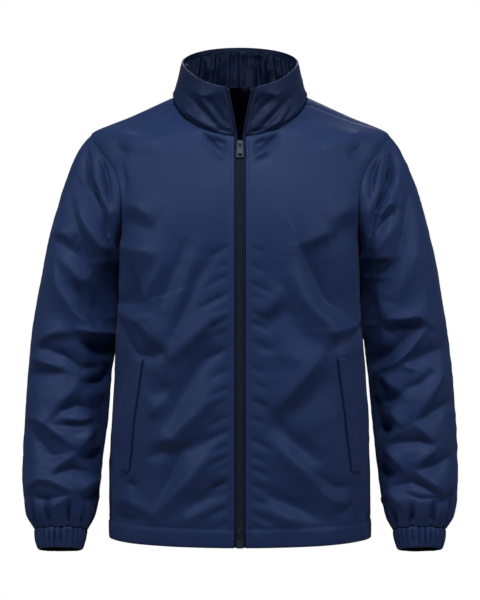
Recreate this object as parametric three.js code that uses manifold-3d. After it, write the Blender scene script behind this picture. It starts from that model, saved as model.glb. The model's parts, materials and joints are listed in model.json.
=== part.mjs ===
// A hip-length windbreaker with a stand collar, filled out with no wearer in it. Millimetres.
// +Z is up and the front faces -Y. Left and right are as seen from the front, left being -X.
// Z = 0 is the side neck point, which is the level where the jacket is held up.

import * as THREE from 'three';
import { mergeVertices } from 'three/addons/utils/BufferGeometryUtils.js';
import Module from 'manifold-3d';

const wasm = await Module();
wasm.setup();

// Walls and gaps
const clothWall = 1.2;
const seamGap = 0.3;
const layerGap = 0.3;

// Levels of the body, at its side line
const hemLevel = -690;
const armpitLevel = -229;
const shoulderLevel = -60;
const neckLevel = 0;

// Body cross-sections. Each loop passes through a front, a side and a back point.
// square is the exponent of its outline from above, and bow shapes how its height turns.
const bodyMiddles = [
  { level: -690, frontY: -140, frontZ: -690, backY: 128, backZ: -690, square: 2.1, bow: 1.5 },
  { level: -600, frontY: -139, frontZ: -600, backY: 127, backZ: -600, square: 2.1, bow: 1.5 },
  { level: -500, frontY: -138, frontZ: -500, backY: 126, backZ: -500, square: 2.2, bow: 1.5 },
  { level: -400, frontY: -137, frontZ: -400, backY: 126.5, backZ: -400, square: 2.35, bow: 1.5 },
  { level: -300, frontY: -136.8, frontZ: -302, backY: 129.5, backZ: -298, square: 2.55, bow: 1.5 },
  { level: -240, frontY: -135, frontZ: -249, backY: 132.5, backZ: -232, square: 2.65, bow: 1.5 },
  { level: -180, frontY: -130, frontZ: -200, backY: 134, backZ: -167, square: 2.45, bow: 1.5 },
  { level: -120, frontY: -120.5, frontZ: -156, backY: 130.5, backZ: -105, square: 2, bow: 1.5 },
  { level: -60, frontY: -105, frontZ: -112, backY: 116, backZ: -45, square: 1.62, bow: 1.42 },
  { level: -30, frontY: -95, frontZ: -90, backY: 97, backZ: -10, square: 1.78, bow: 1.32 },
  { level: 0, frontY: -84, frontZ: -69, backY: 70, backZ: 21, square: 2, bow: 1.2 },
];
// The side line of the body, which widens to the shoulder point and follows the shoulder to the neck
const bodySides = [
  { level: -690, sideX: 206, sideY: -4 },
  { level: -600, sideX: 205, sideY: -4 },
  { level: -500, sideX: 201.5, sideY: -4 },
  { level: -400, sideX: 195, sideY: -4 },
  { level: -300, sideX: 190, sideY: -2 },
  { level: -250, sideX: 188.2, sideY: -0.5 },
  { level: -229, sideX: 188.4, sideY: 0 },
  { level: -200, sideX: 194.5, sideY: 1 },
  { level: -160, sideX: 205, sideY: 2 },
  { level: -110, sideX: 218, sideY: 4 },
  { level: -60, sideX: 236, sideY: 5 },
  { level: -30, sideX: 172, sideY: 5 },
  { level: 0, sideX: 106, sideY: 3 },
];

// Collar loops, from the neck seam at share 0 to the top edge, and half its front opening.
// backBow shapes how the height of its back turns.
const collarMiddles = [
  { share: 0, frontY: -84, frontZ: -69, backY: 70, backZ: 21 },
  { share: 0.5, frontY: -88, frontZ: -33, backY: 74, backZ: 55 },
  { share: 1, frontY: -91, frontZ: 2, backY: 76, backZ: 88 },
];
const collarSides = [
  { share: 0, sideX: 106, sideY: 3, sideZ: 0, square: 2, bow: 1.2, backBow: 1.2, opening: 8.7 },
  { share: 0.5, sideX: 98.5, sideY: 2, sideZ: 27, square: 2.05, bow: 1.25, backBow: 1.1, opening: 15.5 },
  { share: 1, sideX: 92, sideY: 0, sideZ: 54, square: 2.1, bow: 1.3, backBow: 0.95, opening: 24 },
];
const collarSeamGap = 0.4;
const collarRows = [0, 0.3, 0.6, 0.9, 1];
const liningGatherDepth = 1.6;

// Rows of the panels below the armpit, and how many rows cross the armhole and the shoulder
const lowerRows = [
  -690, -662, -636, -610, -583, -554, -525, -495, -466, -437, -407, -380, -352, -323, -294, -262, -229,
];
const armholeRows = 10;
const shoulderRows = [-45, -30, -15, 0];

// Columns of each front panel: middle to pocket opening, the pocket's welt, then to the side seam
const frontColumns = { toPocket: 7, welt: 1, toSide: 5 };
const backColumns = 22;

// Pocket welts: sizes of the slanted opening, as shares of the way round from middle to side
const pocketTop = { level: -407, opening: 0.505, outer: 0.59 };
const pocketBottom = { level: -583, opening: 0.6, outer: 0.685 };
const weltWall = 1.4;

// The armhole is cut back from the side line by these angles, in degrees
const armholeCut = { front: 29, back: 32 };
// The shoulder seam sits this many degrees forward of the ridge, by level
const shoulderSeamTurn = [
  { level: -60, turn: 0 },
  { level: -45, turn: 6 },
  { level: -29, turn: 10 },
  { level: 0, turn: 13 },
];

// Sleeve rings from the armhole down: their outer and inner points, seen from the front
const sleeveOutlines = [
  { ring: 0, outerX: 236.5, outerZ: -60, innerX: 188.4, innerZ: -229 },
  { ring: 1, outerX: 253, outerZ: -82, innerX: 189.3, innerZ: -240 },
  { ring: 2, outerX: 267, outerZ: -112, innerX: 189.7, innerZ: -254 },
  { ring: 3, outerX: 279.5, outerZ: -145, innerX: 190.2, innerZ: -272 },
  { ring: 4, outerX: 291, outerZ: -184, innerX: 191, innerZ: -294 },
  { ring: 5, outerX: 302, outerZ: -228, innerX: 192.3, innerZ: -320 },
  { ring: 6, outerX: 311, outerZ: -272, innerX: 194, innerZ: -348 },
  { ring: 7, outerX: 319, outerZ: -318, innerX: 196, innerZ: -376 },
  { ring: 8, outerX: 326.5, outerZ: -366, innerX: 198.5, innerZ: -406 },
  { ring: 9, outerX: 332, outerZ: -414, innerX: 202, innerZ: -434 },
  { ring: 10, outerX: 336, outerZ: -460, innerX: 205, innerZ: -468 },
  { ring: 11, outerX: 337.5, outerZ: -506, innerX: 208.5, innerZ: -508 },
  { ring: 12, outerX: 339.5, outerZ: -552, innerX: 213.5, innerZ: -552 },
  { ring: 13, outerX: 340, outerZ: -594, innerX: 218, innerZ: -594 },
  { ring: 14, outerX: 338, outerZ: -630, innerX: 221.5, innerZ: -630 },
  { ring: 15, outerX: 333, outerZ: -656, innerX: 226.5, innerZ: -656 },
  { ring: 16, outerX: 320.5, outerZ: -676, innerX: 237, innerZ: -676 },
];
// Their depth from front to back, and the lean of each ring in degrees
const sleeveDepths = [
  { ring: 0, middleY: 5, halfDepth: 66, lean: 0 },
  { ring: 1, middleY: 5, halfDepth: 69, lean: 0 },
  { ring: 2, middleY: 6, halfDepth: 71, lean: 0 },
  { ring: 3, middleY: 7, halfDepth: 72, lean: 0 },
  { ring: 4, middleY: 8, halfDepth: 71, lean: 0 },
  { ring: 5, middleY: 9, halfDepth: 70, lean: 1 },
  { ring: 6, middleY: 9, halfDepth: 69, lean: 2 },
  { ring: 7, middleY: 9, halfDepth: 67, lean: 4 },
  { ring: 8, middleY: 8, halfDepth: 66, lean: 6 },
  { ring: 9, middleY: 5, halfDepth: 64, lean: 8 },
  { ring: 10, middleY: 1, halfDepth: 63, lean: 9 },
  { ring: 11, middleY: -5, halfDepth: 62, lean: 10 },
  { ring: 12, middleY: -12, halfDepth: 60, lean: 11 },
  { ring: 13, middleY: -19, halfDepth: 58, lean: 12 },
  { ring: 14, middleY: -26, halfDepth: 56, lean: 13 },
  { ring: 15, middleY: -31, halfDepth: 51, lean: 14 },
  { ring: 16, middleY: -35, halfDepth: 40.5, lean: 14 },
];
const armholeBlendRings = 5;
const sleeveClearance = 0.35;
const gatherStartRing = 14;
const gatherFullRing = 15.5;
const sleeveGathers = 10;
const sleeveGatherDepth = 2.6;

// Elastic cuff below each sleeve
const cuffRings = [
  { drop: 0, outerX: 320.5, innerX: 237, halfDepth: 40.5 },
  { drop: 15, outerX: 319, innerX: 239, halfDepth: 39 },
  { drop: 31, outerX: 314, innerX: 244, halfDepth: 35 },
];
const cuffGathers = 24;
const cuffGatherDepth = 1.5;
const cuffSlope = 0.25;

// Folds, as troughs (negative height) and ridges on what faces the front or the back.
// The ends are seen from the front; sag bows the line, and width is half the fold's own width.
const foldTaper = 0.7;
const frontFolds = [
  { fromX: -150, fromZ: -205, toX: -60, toZ: -285, height: -4, width: 14, sag: 6 },
  { fromX: -165, fromZ: -250, toX: -85, toZ: -225, height: 3, width: 14, sag: -5 },
  { fromX: -20, fromZ: -270, toX: -150, toZ: -400, height: 4, width: 20, sag: 8 },
  { fromX: -25, fromZ: -360, toX: -110, toZ: -500, height: -4, width: 18, sag: -8 },
  { fromX: -20, fromZ: -460, toX: -95, toZ: -620, height: 3.5, width: 20, sag: 6 },
  { fromX: -165, fromZ: -330, toX: -185, toZ: -420, height: -3, width: 13, sag: 0 },
  { fromX: 145, fromZ: -200, toX: 70, toZ: -300, height: -4, width: 15, sag: -6 },
  { fromX: 160, fromZ: -260, toX: 80, toZ: -230, height: 3, width: 14, sag: 5 },
  { fromX: 22, fromZ: -255, toX: 140, toZ: -390, height: 4, width: 20, sag: -8 },
  { fromX: 25, fromZ: -380, toX: 105, toZ: -510, height: -4, width: 18, sag: 8 },
  { fromX: 20, fromZ: -480, toX: 100, toZ: -630, height: 3.5, width: 20, sag: -6 },
  { fromX: 168, fromZ: -340, toX: 186, toZ: -430, height: -3, width: 13, sag: 0 },
];
const backFolds = [
  { fromX: -160, fromZ: -190, toX: -60, toZ: -330, height: -4.5, width: 18, sag: 8 },
  { fromX: 155, fromZ: -200, toX: 65, toZ: -345, height: -4.5, width: 18, sag: -8 },
  { fromX: -120, fromZ: -380, toX: -20, toZ: -460, height: 4, width: 20, sag: -8 },
  { fromX: 125, fromZ: -410, toX: 30, toZ: -490, height: 4, width: 20, sag: 8 },
  { fromX: -90, fromZ: -500, toX: -40, toZ: -640, height: -4, width: 18, sag: 4 },
  { fromX: 85, fromZ: -520, toX: 50, toZ: -650, height: -4, width: 18, sag: -4 },
];
// Folds of the sleeve at the left; the one at the right has them mirrored and moved a little
const sleeveFolds = [
  { fromX: -238, fromZ: -85, toX: -234, toZ: -165, height: -4, width: 9, sag: 0 },
  { fromX: -258, fromZ: -125, toX: -198, toZ: -238, height: 5, width: 9, sag: 3 },
  { fromX: -236, fromZ: -150, toX: -196, toZ: -222, height: -6, width: 11, sag: 0 },
  { fromX: -290, fromZ: -212, toX: -226, toZ: -282, height: -5, width: 11, sag: 5 },
  { fromX: -290, fromZ: -262, toX: -224, toZ: -366, height: -5.5, width: 12, sag: -6 },
  { fromX: -300, fromZ: -320, toX: -215, toZ: -392, height: 4.5, width: 12, sag: 4 },
  { fromX: -318, fromZ: -384, toX: -206, toZ: -425, height: -6.5, width: 12, sag: -12 },
  { fromX: -326, fromZ: -428, toX: -262, toZ: -436, height: -4, width: 9, sag: 0 },
  { fromX: -330, fromZ: -478, toX: -250, toZ: -452, height: 4, width: 12, sag: 4 },
  { fromX: -300, fromZ: -505, toX: -222, toZ: -498, height: -6, width: 12, sag: 6 },
  { fromX: -330, fromZ: -548, toX: -252, toZ: -556, height: -5, width: 11, sag: -6 },
  { fromX: -254, fromZ: -552, toX: -222, toZ: -590, height: 4, width: 11, sag: 0 },
  { fromX: -330, fromZ: -610, toX: -242, toZ: -612, height: -5.5, width: 12, sag: 6 },
];
// Sleeve folds fade in as the cloth turns to face the front or the back
const foldsFrom = 0.1;
const foldsFull = 0.4;
const hiddenSideShift = -34;
const otherSleeveShift = -9;

// Zip: a tape at each edge, a closed chain below the slider and an open coil at each side above it
const panelEdge = 8.7;
const tapeInset = 0.6;
const tapeWidth = 4.4;
const tapeRecess = 0.4;
const tapeWall = 0.9;
const coilWidth = 2;
const coilRise = 0.9;
const coilWall = 2.2;
const chainHalfWidth = 3.3;
const chainBottomZ = -676.5;
const chainTopZ = -92;
const openCoilBottomZ = -76.4;
const openCoilTopShare = 0.92;
const zipStep = 34;

// Bottom box and top stops
const boxTopZ = -677;
const boxHalfWidth = 4.8;
const boxCoreHalfWidth = 3.2;
const boxFront = 2.8;
const boxBack = 2;
const boxStep = 0.3;
const stopShare = 0.965;
const stopSize = { width: 1.6, depth: 3, height: 4 };

// Slider with its post and bridge, in its own frame: outwards is negative depth
const sliderZ = -84;
const sliderHalfHeight = 7.2;
const sliderTopHalfWidth = 4.6;
const sliderLowHalfWidth = 3.7;
// Where the slider is widest, and its crown, as shares of its half height and half width
const sliderWidest = { from: 0.3, to: 0.7 };
const sliderCrown = 0.6;
const frontPlate = { from: -2.1, to: -0.6 };
const backPlate = { from: 2.6, to: 3.8, halfWidth: 3.6, halfHeight: 6.4 };
const post = { halfWidth: 1.1, bottom: 1, top: 6.2 };
const bridgeHalfWidth = 1.1;
const bridgeBar = 1.1;
const tunnelHeight = 2.6;
const tunnelHalfLength = 2.6;
const pivotHeight = 1.5;

// Pull tab, hanging from its crossbar in the bridge
const tabHalfWidth = 4.8;
const tabTop = 0.65;
const tabLength = 25;
const tabWall = 1.4;
const tabCorner = 0.6;
const tabSlot = { halfWidth: 2.1, top: -0.65, bottom: -7.5, corner: 0.8 };
const tabHole = { halfWidth: 1.9, top: -19, bottom: -22, corner: 1.2 };
const roundSteps = 4;

// Short tape inside the back of the neck
const neckTape = { columns: [-1, 0, 1], from: 0.35, to: 0.9, gap: 0.5, wall: 1 };

const clothColour = 0x2a3656;
const liningColour = 0x151e36;
const tapeColour = 0x1c2840;
const coilColour = 0x26324e;
const metalColour = 0x4b5368;

const degrees = THREE.MathUtils.degToRad;
const clamp = THREE.MathUtils.clamp;

function smooth(share) {
  const t = clamp(share, 0, 1);
  return t * t * (3 - 2 * t);
}

// Slope of a column at one row, flat at a peak so that the curve never passes its own rows
function rowSlope(table, key, name, row) {
  const rise = (from) => table[from + 1][name] - table[from][name];
  const slope = (from) => rise(from) / (table[from + 1][key] - table[from][key]);
  if (row === 0) return slope(0);
  if (row === table.length - 1) return slope(row - 1);
  const [before, after] = [slope(row - 1), slope(row)];
  if (before * after <= 0) return 0;
  const low = table[row][key] - table[row - 1][key];
  const high = table[row + 1][key] - table[row][key];
  const [lowWeight, highWeight] = [2 * high + low, high + 2 * low];
  return (lowWeight + highWeight) / (lowWeight / before + highWeight / after);
}

// Reads a named column of a table at a value of its key column, with a smooth curve between rows
function readColumn(table, key, name, at) {
  const last = table.length - 1;
  let row = 0;
  while (row < last - 1 && at > table[row + 1][key]) row += 1;
  const span = table[row + 1][key] - table[row][key];
  const t = clamp((at - table[row][key]) / span, 0, 1);
  const t2 = t * t;
  const t3 = t2 * t;
  return (
    (2 * t3 - 3 * t2 + 1) * table[row][name] +
    (t3 - 2 * t2 + t) * span * rowSlope(table, key, name, row) +
    (3 * t2 - 2 * t3) * table[row + 1][name] +
    (t3 - t2) * span * rowSlope(table, key, name, row + 1)
  );
}

// Reads every column of a table
function readRow(table, key, at) {
  const names = Object.keys(table[0]).filter((name) => name !== key);
  return Object.fromEntries(names.map((name) => [name, readColumn(table, key, name, at)]));
}

// A point of a body or collar loop, angle 0 being the middle front and 180 degrees the middle back
function loopPoint(loop, angle) {
  const power = 2 / loop.square;
  const across = Math.abs(Math.sin(angle));
  const along = Math.abs(Math.cos(angle));
  const isFront = Math.cos(angle) > 0;
  const middleY = isFront ? loop.frontY : loop.backY;
  const middleZ = isFront ? loop.frontZ : loop.backZ;
  const bow = isFront ? loop.bow : loop.backBow ?? loop.bow;
  return new THREE.Vector3(
    Math.sign(Math.sin(angle)) * loop.sideX * across ** power,
    loop.sideY + (middleY - loop.sideY) * along ** power,
    loop.sideZ + (middleZ - loop.sideZ) * along ** bow,
  );
}

const loopCache = new Map();
function bodyLoop(level) {
  if (!loopCache.has(level)) {
    const loop = { ...readRow(bodyMiddles, 'level', level), ...readRow(bodySides, 'level', level) };
    loopCache.set(level, { ...loop, sideZ: level });
  }
  return loopCache.get(level);
}

function collarLoop(share) {
  return { ...readRow(collarMiddles, 'share', share), ...readRow(collarSides, 'share', share) };
}

function bodyPoint(level, angle) {
  return loopPoint(bodyLoop(level), angle);
}

// The angle at which a loop stands a given distance from the middle
function angleAtX(loop, x) {
  return Math.asin((x / loop.sideX) ** (loop.square / 2));
}

function panelLevels() {
  const levels = [...lowerRows];
  for (let row = 1; row <= armholeRows; row += 1) {
    const share = (1 - Math.cos((Math.PI * row) / armholeRows)) / 2;
    levels.push(armpitLevel + share * (shoulderLevel - armpitLevel));
  }
  return [...levels, ...shoulderRows];
}

// Share of the armhole's full cut at a level: none at the armpit and at the shoulder point
function armholeShare(level) {
  const share = (level - armpitLevel) / (shoulderLevel - armpitLevel);
  return share <= 0 || share >= 1 ? 0 : Math.sqrt(4 * share * (1 - share));
}

function seamAngle(level) {
  const turn = level > shoulderLevel ? readColumn(shoulderSeamTurn, 'level', 'turn', level) : 0;
  return Math.PI / 2 - degrees(turn);
}

function frontEndAngle(level) {
  return seamAngle(level) - degrees(armholeCut.front) * armholeShare(level);
}

function backStartAngle(level) {
  return seamAngle(level) + degrees(armholeCut.back) * armholeShare(level);
}

// How far the folds of one table move the cloth at a point seen from the front
function foldHeight(folds, x, z) {
  let height = 0;
  for (const fold of folds) {
    const runX = fold.toX - fold.fromX;
    const runZ = fold.toZ - fold.fromZ;
    const length = Math.hypot(runX, runZ);
    const along = ((x - fold.fromX) * runX + (z - fold.fromZ) * runZ) / length ** 2;
    if (along > 0 && along < 1) {
      const aside = ((x - fold.fromX) * runZ - (z - fold.fromZ) * runX) / length;
      const bowed = aside - fold.sag * 4 * along * (1 - along);
      const taper = Math.sin(Math.PI * along) ** foldTaper;
      height += fold.height * taper * Math.exp(-((bowed / fold.width) ** 2));
    }
  }
  return height;
}

// Normals of a grid of points, from its neighbours along the rows and columns
function gridNormals(grid, wraps) {
  return grid.map((row, r) =>
    row.map((point, c) => {
      const count = row.length;
      const left = wraps ? row[(c + count - 1) % count] : row[Math.max(c - 1, 0)];
      const right = wraps ? row[(c + 1) % count] : row[Math.min(c + 1, count - 1)];
      const lower = grid[Math.max(r - 1, 0)];
      const upper = grid[Math.min(r + 1, grid.length - 1)];
      const below = lower[Math.round((c * lower.length) / count) % lower.length];
      const above = upper[Math.round((c * upper.length) / count) % upper.length];
      return right.clone().sub(left).cross(above.clone().sub(below)).normalize();
    }),
  );
}

function offsetGrid(grid, normals, distance) {
  return grid.map((row, r) =>
    row.map((point, c) => point.clone().addScaledVector(normals[r][c], distance)),
  );
}

// A closed wall between two grids of points. Rows may double their columns on a wrapped tube.
function wallGeometry(outer, inner, wraps) {
  const positions = [];
  const starts = [[], []];
  [outer, inner].forEach((grid, layer) => {
    grid.forEach((row) => {
      starts[layer].push(positions.length / 3);
      row.forEach((point) => positions.push(point.x, point.y, point.z));
    });
  });
  const indices = [];
  const face = (a, b, c, flipped) => indices.push(...(flipped ? [a, c, b] : [a, b, c]));
  const last = outer.length - 1;
  for (let layer = 0; layer < 2; layer += 1) {
    for (let r = 0; r < last; r += 1) {
      const count = outer[r].length;
      const nextCount = outer[r + 1].length;
      const at = (column) => starts[layer][r] + (column % count);
      const next = (column) => starts[layer][r + 1] + (column % nextCount);
      for (let c = 0; c < (wraps ? count : count - 1); c += 1) {
        if (nextCount === count) {
          face(at(c), at(c + 1), next(c + 1), layer === 1);
          face(at(c), next(c + 1), next(c), layer === 1);
        } else {
          face(at(c), next(2 * c + 1), next(2 * c), layer === 1);
          face(at(c), at(c + 1), next(2 * c + 1), layer === 1);
          face(at(c + 1), next(2 * c + 2), next(2 * c + 1), layer === 1);
        }
      }
    }
  }
  for (const r of [0, last]) {
    const count = outer[r].length;
    for (let c = 0; c < (wraps ? count : count - 1); c += 1) {
      const d = (c + 1) % count;
      face(starts[0][r] + c, starts[1][r] + c, starts[1][r] + d, r === last);
      face(starts[0][r] + c, starts[1][r] + d, starts[0][r] + d, r === last);
    }
  }
  if (!wraps) {
    for (const atEnd of [false, true]) {
      for (let r = 0; r < last; r += 1) {
        const low = atEnd ? outer[r].length - 1 : 0;
        const high = atEnd ? outer[r + 1].length - 1 : 0;
        const [a, b] = [starts[0][r] + low, starts[1][r] + low];
        const [c, d] = [starts[0][r + 1] + high, starts[1][r + 1] + high];
        face(a, d, b, atEnd);
        face(a, c, d, atEnd);
      }
    }
  }
  const geometry = new THREE.BufferGeometry();
  geometry.setAttribute('position', new THREE.Float32BufferAttribute(positions, 3));
  geometry.setIndex(indices);
  return facingOut(geometry);
}

// Turns every face over where the enclosed volume comes out negative
function facingOut(geometry) {
  const place = geometry.getAttribute('position');
  const index = geometry.getIndex();
  const corner = (k) => new THREE.Vector3().fromBufferAttribute(place, index.getX(k));
  let volume = 0;
  for (let k = 0; k < index.count; k += 3) {
    volume += corner(k).dot(corner(k + 1).cross(corner(k + 2)));
  }
  if (volume < 0) {
    for (let k = 0; k < index.count; k += 3) {
      const second = index.getX(k + 1);
      index.setX(k + 1, index.getX(k + 2));
      index.setX(k + 2, second);
    }
  }
  return geometry;
}

const jacket = new THREE.Group();
jacket.name = 'windbreaker';

function addMesh(name, geometry, colour, metalness = 0) {
  const roughness = metalness > 0 ? 0.4 : 0.7;
  const material = new THREE.MeshStandardMaterial({ color: colour, roughness, metalness });
  material.name = `${name}_material`;
  const mesh = new THREE.Mesh(geometry, material);
  mesh.name = name;
  jacket.add(mesh);
}

function mirrored(point, side) {
  return new THREE.Vector3(point.x * side, point.y, point.z);
}

// The same geometry at the other side of the middle, its faces still turned out
function mirroredGeometry(geometry) {
  const turned = geometry.clone();
  turned.scale(-1, 1, 1);
  return facingOut(turned);
}

// Body panels

const levels = panelLevels();

function pocketShare(level, name) {
  const share = clamp((level - pocketTop.level) / (pocketBottom.level - pocketTop.level), 0, 1);
  return pocketTop[name] + share * (pocketBottom[name] - pocketTop[name]);
}

// The angle at which a panel ends, half a seam gap to one side of the seam's own angle
function angleBeside(level, angle, way) {
  const seam = bodyPoint(level, angle);
  let near = 0;
  let far = 0.1;
  for (let halving = 0; halving < 24; halving += 1) {
    const middle = (near + far) / 2;
    if (bodyPoint(level, angle + way * middle).distanceTo(seam) < seamGap / 2) near = middle;
    else far = middle;
  }
  return angle + way * far;
}

// Angles of a front panel's columns at a level, with two of them on the pocket's edges
function frontAngles(level) {
  const start = angleAtX(bodyLoop(level), panelEdge);
  const end = angleBeside(level, frontEndAngle(level), -1);
  const opening = start + (end - start) * pocketShare(level, 'opening');
  const outer = start + (end - start) * pocketShare(level, 'outer');
  const angles = [];
  const spread = (from, to, count) => {
    for (let c = 0; c < count; c += 1) angles.push(from + ((to - from) * c) / count);
  };
  spread(start, opening, frontColumns.toPocket);
  spread(opening, outer, frontColumns.welt);
  spread(outer, end, frontColumns.toSide);
  angles.push(end);
  return angles;
}

function backAngles(level) {
  const start = angleBeside(level, backStartAngle(level), 1);
  const end = 2 * Math.PI - start;
  return Array.from({ length: backColumns + 1 }, (_, c) => start + ((end - start) * c) / backColumns);
}

// Moves the points inside a panel's edges out or in by the folds
function foldedGrid(grid, folds) {
  const normals = gridNormals(grid, false);
  return grid.map((row, r) =>
    row.map((point, c) => {
      const atEdge = r === grid.length - 1 || c === 0 || c === row.length - 1;
      const height = atEdge ? 0 : foldHeight(folds, point.x, point.z);
      return point.clone().addScaledVector(normals[r][c], height);
    }),
  );
}

// The direction straight out of the body at a level and angle
function bodyNormal(level, angle) {
  const levelStep = 2;
  const angleStep = 0.02;
  const above = Math.min(level + levelStep, neckLevel);
  const below = Math.max(level - levelStep, hemLevel);
  const along = bodyPoint(level, angle + angleStep).sub(bodyPoint(level, angle - angleStep));
  const up = bodyPoint(above, angle).sub(bodyPoint(below, angle));
  return along.cross(up).normalize();
}

// The wall of a panel. Its side edges are cut square to the body, so that seams stay even.
function panelGrids(base, folds, edgeNormals) {
  const outer = foldedGrid(base, folds);
  const normals = gridNormals(outer, false);
  normals.forEach((row, r) => {
    row[0] = edgeNormals[r][0];
    row[row.length - 1] = edgeNormals[r][1];
  });
  return { outer, inner: offsetGrid(outer, normals, -clothWall), normals };
}

function edgeNormalRows(anglesAt, side) {
  return levels.map((level) => {
    const angles = anglesAt(level);
    const ends = [angles[0], angles[angles.length - 1]];
    const normals = ends.map((angle) => mirrored(bodyNormal(level, angle), side));
    return side < 0 ? normals.reverse() : normals;
  });
}

const frontPanels = {};
for (const [name, side] of [['left', -1], ['right', 1]]) {
  const base = levels.map((level) =>
    frontAngles(level).map((angle) => mirrored(bodyPoint(level, angle), side)),
  );
  // The rows of the left panel run the other way, so that the normals of both face out
  const rows = side < 0 ? base.map((row) => [...row].reverse()) : base;
  frontPanels[name] = panelGrids(rows, frontFolds, edgeNormalRows(frontAngles, side));
  addMesh(
    `front_${name}`,
    wallGeometry(frontPanels[name].outer, frontPanels[name].inner, false),
    clothColour,
  );
}

const backBase = levels.map((level) => backAngles(level).map((angle) => bodyPoint(level, angle)));
const backPanel = panelGrids(backBase, backFolds, edgeNormalRows(backAngles, 1));
addMesh('back', wallGeometry(backPanel.outer, backPanel.inner, false), clothColour);

// Pocket welts, lying on the front panels

const weltRows = levels.filter((level) => level >= pocketBottom.level && level <= pocketTop.level);
for (const [name, side] of [['left', -1], ['right', 1]]) {
  const panel = frontPanels[name];
  const columns = panel.outer[0].length - 1;
  const first = side > 0 ? frontColumns.toPocket : columns - frontColumns.toPocket - frontColumns.welt;
  const pick = (distance) =>
    weltRows.map((level) => {
      const r = levels.indexOf(level);
      return [first, first + 1].map((c) =>
        panel.outer[r][c].clone().addScaledVector(panel.normals[r][c], distance),
      );
    });
  addMesh(
    `pocket_welt_${name}`,
    wallGeometry(pick(layerGap + weltWall), pick(layerGap), false),
    clothColour,
  );
}

// Sleeves

function armholePoint(angle) {
  const onFront = angle <= Math.PI;
  const climb = onFront ? 1 - angle / Math.PI : angle / Math.PI - 1;
  const share = (1 - Math.cos(Math.PI * climb)) / 2;
  const level = armpitLevel + share * (shoulderLevel - armpitLevel);
  return bodyPoint(level, onFront ? frontEndAngle(level) : backStartAngle(level));
}

function plainRingPoint(ring, angle) {
  const { outerX, outerZ, innerX, innerZ } = readRow(sleeveOutlines, 'ring', ring);
  const { middleY, halfDepth, lean: leanDegrees } = readRow(sleeveDepths, 'ring', ring);
  const outer = new THREE.Vector3(outerX, middleY, outerZ);
  const inner = new THREE.Vector3(innerX, middleY, innerZ);
  const lean = degrees(leanDegrees);
  const toFront = new THREE.Vector3(0, -Math.cos(lean), Math.sin(lean));
  return outer
    .clone()
    .add(inner)
    .multiplyScalar(0.5)
    .addScaledVector(outer.sub(inner), 0.5 * Math.cos(angle))
    .addScaledVector(toFront, halfDepth * Math.sin(angle));
}

// Rings near the armhole take its shape, less and less of it down the sleeve
function sleevePoint(ring, angle) {
  const point = plainRingPoint(ring, angle);
  const keep = 1 - smooth(ring / armholeBlendRings);
  if (keep > 0) {
    const outward = plainRingPoint(0.5, angle).sub(plainRingPoint(0, angle)).normalize();
    const start = armholePoint(angle).addScaledVector(outward, seamGap);
    start.x += sleeveClearance;
    point.addScaledVector(start.sub(plainRingPoint(0, angle)), keep);
  }
  return point;
}

function gatherWave(angle, count) {
  return 0.5 + 0.5 * Math.cos(count * angle);
}

// Each sleeve is cut in two across the elbow, so that its collision pieces follow it closely
const elbowRing = 7.6;
const elbowGap = 0.35;
const sleeveStations = [
  0, 0.6, 1.3, 2, 2.7, 3.4, 4.1, 4.8, 5.5, 6.2, 6.9, elbowRing, 8.3, 9, 9.7, 10.4, 11.1, 11.8, 12.5,
  13.2, 13.8, 14.4, 15, 15.5, 16,
];
const coarseAround = 2 * armholeRows;
const fineFromRing = 13.5;

// A row moved a gap towards the next row
function movedRow(row, next) {
  return row.map((point, c) => {
    const run = next[c].clone().sub(point);
    return point.clone().addScaledVector(run.normalize(), elbowGap);
  });
}

function sleeveSolids(side) {
  const base = sleeveStations.map((ring) => {
    const around = ring < fineFromRing ? coarseAround : 2 * coarseAround;
    return Array.from({ length: around }, (_, c) => {
      return mirrored(sleevePoint(ring, (2 * Math.PI * c) / around), side);
    });
  });
  const normals = gridNormals(base, true);
  const outer = base.map((row, r) =>
    row.map((point, c) => {
      const ring = sleeveStations[r];
      const atEnd = r === 0 || r === base.length - 1;
      const normal = normals[r][c].clone().multiplyScalar(side);
      const angle = (2 * Math.PI * c) / row.length;
      const facing = smooth((Math.abs(normal.y) - foldsFrom) / (foldsFull - foldsFrom));
      const isFront = normal.y < 0;
      const foldX = side < 0 ? point.x : -point.x;
      const foldZ = point.z + (isFront ? 0 : hiddenSideShift) + (side < 0 ? 0 : otherSleeveShift);
      let height = atEnd ? 0 : facing * foldHeight(sleeveFolds, foldX, foldZ);
      const gathered = smooth((ring - gatherStartRing) / (gatherFullRing - gatherStartRing));
      height -= gathered * sleeveGatherDepth * gatherWave(angle, sleeveGathers);
      return point.clone().addScaledVector(normal, height);
    }),
  );
  const inner = offsetGrid(outer, gridNormals(outer, true), -clothWall * side);
  const cut = sleeveStations.indexOf(elbowRing);
  const below = [outer, inner].map((grid) => [movedRow(grid[cut], grid[cut + 1]), ...grid.slice(cut + 1)]);
  return {
    upper: wallGeometry(outer.slice(0, cut + 1), inner.slice(0, cut + 1), true),
    lower: wallGeometry(below[0], below[1], true),
  };
}

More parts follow.
